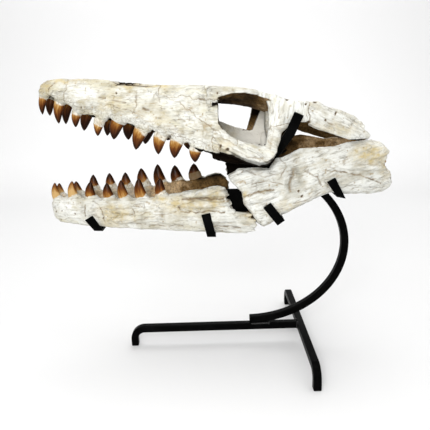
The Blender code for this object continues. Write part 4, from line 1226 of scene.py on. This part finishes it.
def tooth_material():
    """Enamel from tan at its base to near black at its tip, over a pale porous root, with painted
    shade on its front and rear edges and over the far side's teeth.
    """
    n = Nodes("tooth_enamel_and_root")
    plain = n.place()
    crown, rear = n.attribute("crown"), n.attribute("rear")
    shape = n.add("ShaderNodeCombineXYZ", {0: rear, 1: n.attribute("side"),
                                           2: n.attribute("length")})
    streak = n.noise(shape.outputs[0], 5.0, 3.0)
    patchy = n.noise(plain, 160.0, 4.0)
    deep = n.span(crown, 0.52, 0.94, 0.0, 1.1)
    # painted shade: the far side's darker teeth, and the rear and front edges of each crown; the
    # streaks are the enamel's own
    for more in (n.times(n.less(n.attribute("dark"), 0.22), 0.95),
                 n.times(n.less(streak, 0.5), 0.9), n.span(rear, 0.70, 0.98, 0.0, 0.5),
                 n.span(rear, 0.10, 0.0, 0.0, 0.3)):
        deep = n.plus(deep, more)
    enamel = ENAMEL[0]
    for number, colour in enumerate(ENAMEL[1:]):
        start = ENAMEL_STEP * number
        enamel = n.mix(n.span(deep, start, start + ENAMEL_STEP), enamel, colour)
    n.colour = n.mix(n.span(patchy, 0.38, 0.66), ROOT_WHITE, ROOT_TAN)
    n.lay(n.span(n.noise(plain, 520.0, 3.0), 0.52, 0.68, 0.0, 0.7), ROOT_PORES)
    # painted shade in the matrix's brown on the roots of the darkest teeth
    n.lay(n.span(n.attribute("dark"), 0.82, 1.0), ROCK_BROWN)
    edge = n.plus(crown, n.times(n.less(patchy, 0.5), 0.10))
    on_crown = n.span(edge, 0.495, 0.54)
    n.lay(on_crown, enamel)
    lumps = n.noise(plain, 420.0, 4.0)
    height = n.plus(n.times(streak, 0.5), n.times(on_crown, 0.7))
    n.bump(n.plus(height, n.times(lumps, n.span(on_crown, 0, 1, 0.9, 0.1))), *TOOTH_BUMP)
    n.set(Base_Color=n.colour, Specular_IOR_Level=ENAMEL_SHINE,
          Roughness=n.span(on_crown, 0.0, 1.0, ROOT_ROUGHNESS, ENAMEL_ROUGHNESS))
    return n.material


STEEL_BLACK, STEEL_WORN = (0.0008, 0.0008, 0.0008, 1), (0.0025, 0.0025, 0.0025, 1)
STEEL_BUMP = (0.25, 0.0003)
# How strongly it shines, and its roughness from smooth to worn.
COAT, WELD_COAT = (0.022, 0.30, 0.42), (0.5, 0.16, 0.28)


def steel_material(name, shine, smooth, rough):
    """Black powder coat, a little worn, with its roughness between smooth and rough."""
    n = Nodes(name)
    plain = n.place()
    wear = n.noise(plain, 60.0, 4.0)
    n.bump(n.noise(plain, 900.0, 2.0), *STEEL_BUMP)
    n.set(Base_Color=n.mix(n.span(wear, 0.45, 0.75), STEEL_BLACK, STEEL_WORN),
          Roughness=n.span(wear, 0.3, 0.7, smooth, rough), Specular_IOR_Level=shine)
    return n.material


# ---- stage


FLOOR_DARK, FLOOR_PALE, WALL = (0.745,) * 3 + (1,), (0.755,) * 3 + (1,), (0.90,) * 3 + (1,)
FLOOR_ROUGHNESS, FLOOR_SHINE = 0.6, 0.2
SWEEP_HALF_WIDTH, SWEEP_RADIUS, WALL_HEIGHT = 3500, 600, 2600
SWEEP_STARTS = (-2500, 100, 900)  # the floor's front, where it gets paler, and where it curves up
SWEEP_STEPS = 12
WORLD_STRENGTH = 0.52
# The lights: where each is, what it points at, its size and its power.
LIGHTS = {
    "key": ((-0.5, -1.3, 1.4), (0, 0, 0.2), 0.9, 6.6),
    "lens_side": ((-0.10, -0.74, 0.50), (0, 0, 0.28), 0.25, 4.1),
    "top": ((0.1, 0.3, 1.7), (0, 0, 0.2), 1.3, 10.0),
    "backdrop": ((0, 0.7, 1.5), (0, 1.5, 0.2), 2.4, 11.0),
}
PHOTO_PIXELS, FOCAL_PIXELS, SENSOR = 430, 480, 36
CAMERA_PLACE, CAMERA_DOWN, CAMERA_ROLL = (-0.002, -0.596, 0.344), 15.2, -1.72


def floor_and_wall():
    """A plain pale floor that curves up into a wall behind, a little paler to the rear."""
    n = Nodes("studio_floor")
    ground = n.mix(n.noise(n.place(), 3.0, 2.0), FLOOR_DARK, FLOOR_PALE)
    n.set(Base_Color=n.mix(n.attribute("wall"), ground, WALL), Roughness=FLOOR_ROUGHNESS,
          Specular_IOR_Level=FLOOR_SHINE)
    front, paler, curve = SWEEP_STARTS
    profile = [(y, 0) for y in SWEEP_STARTS]
    for i in range(1, SWEEP_STEPS + 1):
        a = math.radians(90 * i / SWEEP_STEPS)
        profile.append((curve + SWEEP_RADIUS * math.sin(a), SWEEP_RADIUS * (1 - math.cos(a))))
    profile.append((curve + SWEEP_RADIUS, WALL_HEIGHT))
    bm = bmesh.new()
    rows = [[bm.verts.new((x, y, z)) for x in (-SWEEP_HALF_WIDTH, SWEEP_HALF_WIDTH)]
            for y, z in profile]
    for one, other in zip(rows, rows[1:]):
        bm.faces.new((one[0], one[1], other[1], other[0]))
    sweep = mesh_object("studio_sweep", bm)
    back = coordinates(sweep.data)[:, 1]
    store(sweep.data, "wall", 0.3 * ramp(back, paler, curve) + 0.7 * ramp(back, curve, 1200))
    sweep.data.shade_smooth()
    sweep.data.materials.append(n.material)


def studio():
    """The floor, an even white world and soft lights."""
    floor_and_wall()
    world = bpy.data.worlds.new("studio")
    world.use_nodes = True
    background = world.node_tree.nodes["Background"].inputs
    background["Color"].default_value = (1.0, 1.0, 1.0, 1)
    background["Strength"].default_value = WORLD_STRENGTH
    bpy.context.scene.world = world
    for name, (place, target, size, power) in LIGHTS.items():
        data = bpy.data.lights.new(name, "AREA")
        data.size, data.energy = size, power
        light = link(bpy.data.objects.new(name, data))
        light.location = place
        light.rotation_euler = (Vector(target) - Vector(place)).to_track_quat("-Z", "Y").to_euler()


def camera():
    """The photo's camera, as fitted to the stand's bars."""
    data = bpy.data.cameras.new("camera")
    data.lens, data.sensor_width = FOCAL_PIXELS / PHOTO_PIXELS * SENSOR, SENSOR
    data.clip_start = 0.02
    obj = link(bpy.data.objects.new("camera", data))
    obj.matrix_world = (Matrix.Translation(CAMERA_PLACE)
                        @ Matrix.Rotation(math.radians(90 - CAMERA_DOWN), 4, "X")
                        @ Matrix.Rotation(math.radians(CAMERA_ROLL), 4, "Z"))
    bpy.context.scene.camera = obj


def build():
    """Everything: the stage, the bones, the teeth and the stand."""
    camera()
    studio()
    tree = solid_tree()
    surfaces = {}
    for name, mesh in bare_bodies().items():
        for node, obj in sculpt(name, mesh, tree).items():
            tilt, warmth = BONES[node]
            if (tilt, warmth) not in surfaces:
                surfaces[tilt, warmth] = bone_material(f"surface_{node}", tilt, warmth)
            obj.data.materials.append(surfaces[tilt, warmth])
            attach(obj, "root")
            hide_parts(node)
    enamel = tooth_material()
    for node, obj in all_teeth().values():
        obj.data.materials.append(enamel)
        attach(obj, "root")
        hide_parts(node)
    steel = steel_material("black_powder_coat", *COAT)
    for node, obj in stand_bars().items():
        obj.data.materials.append(steel)
        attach(obj, "root")
        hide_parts(node)
    drops = steel_material("black_weld_drops", *WELD_COAT)
    for obj in welds():
        obj.data.materials.append(drops)
        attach(obj, "root")
    bpy.context.scene.view_settings.view_transform = "Standard"


build()
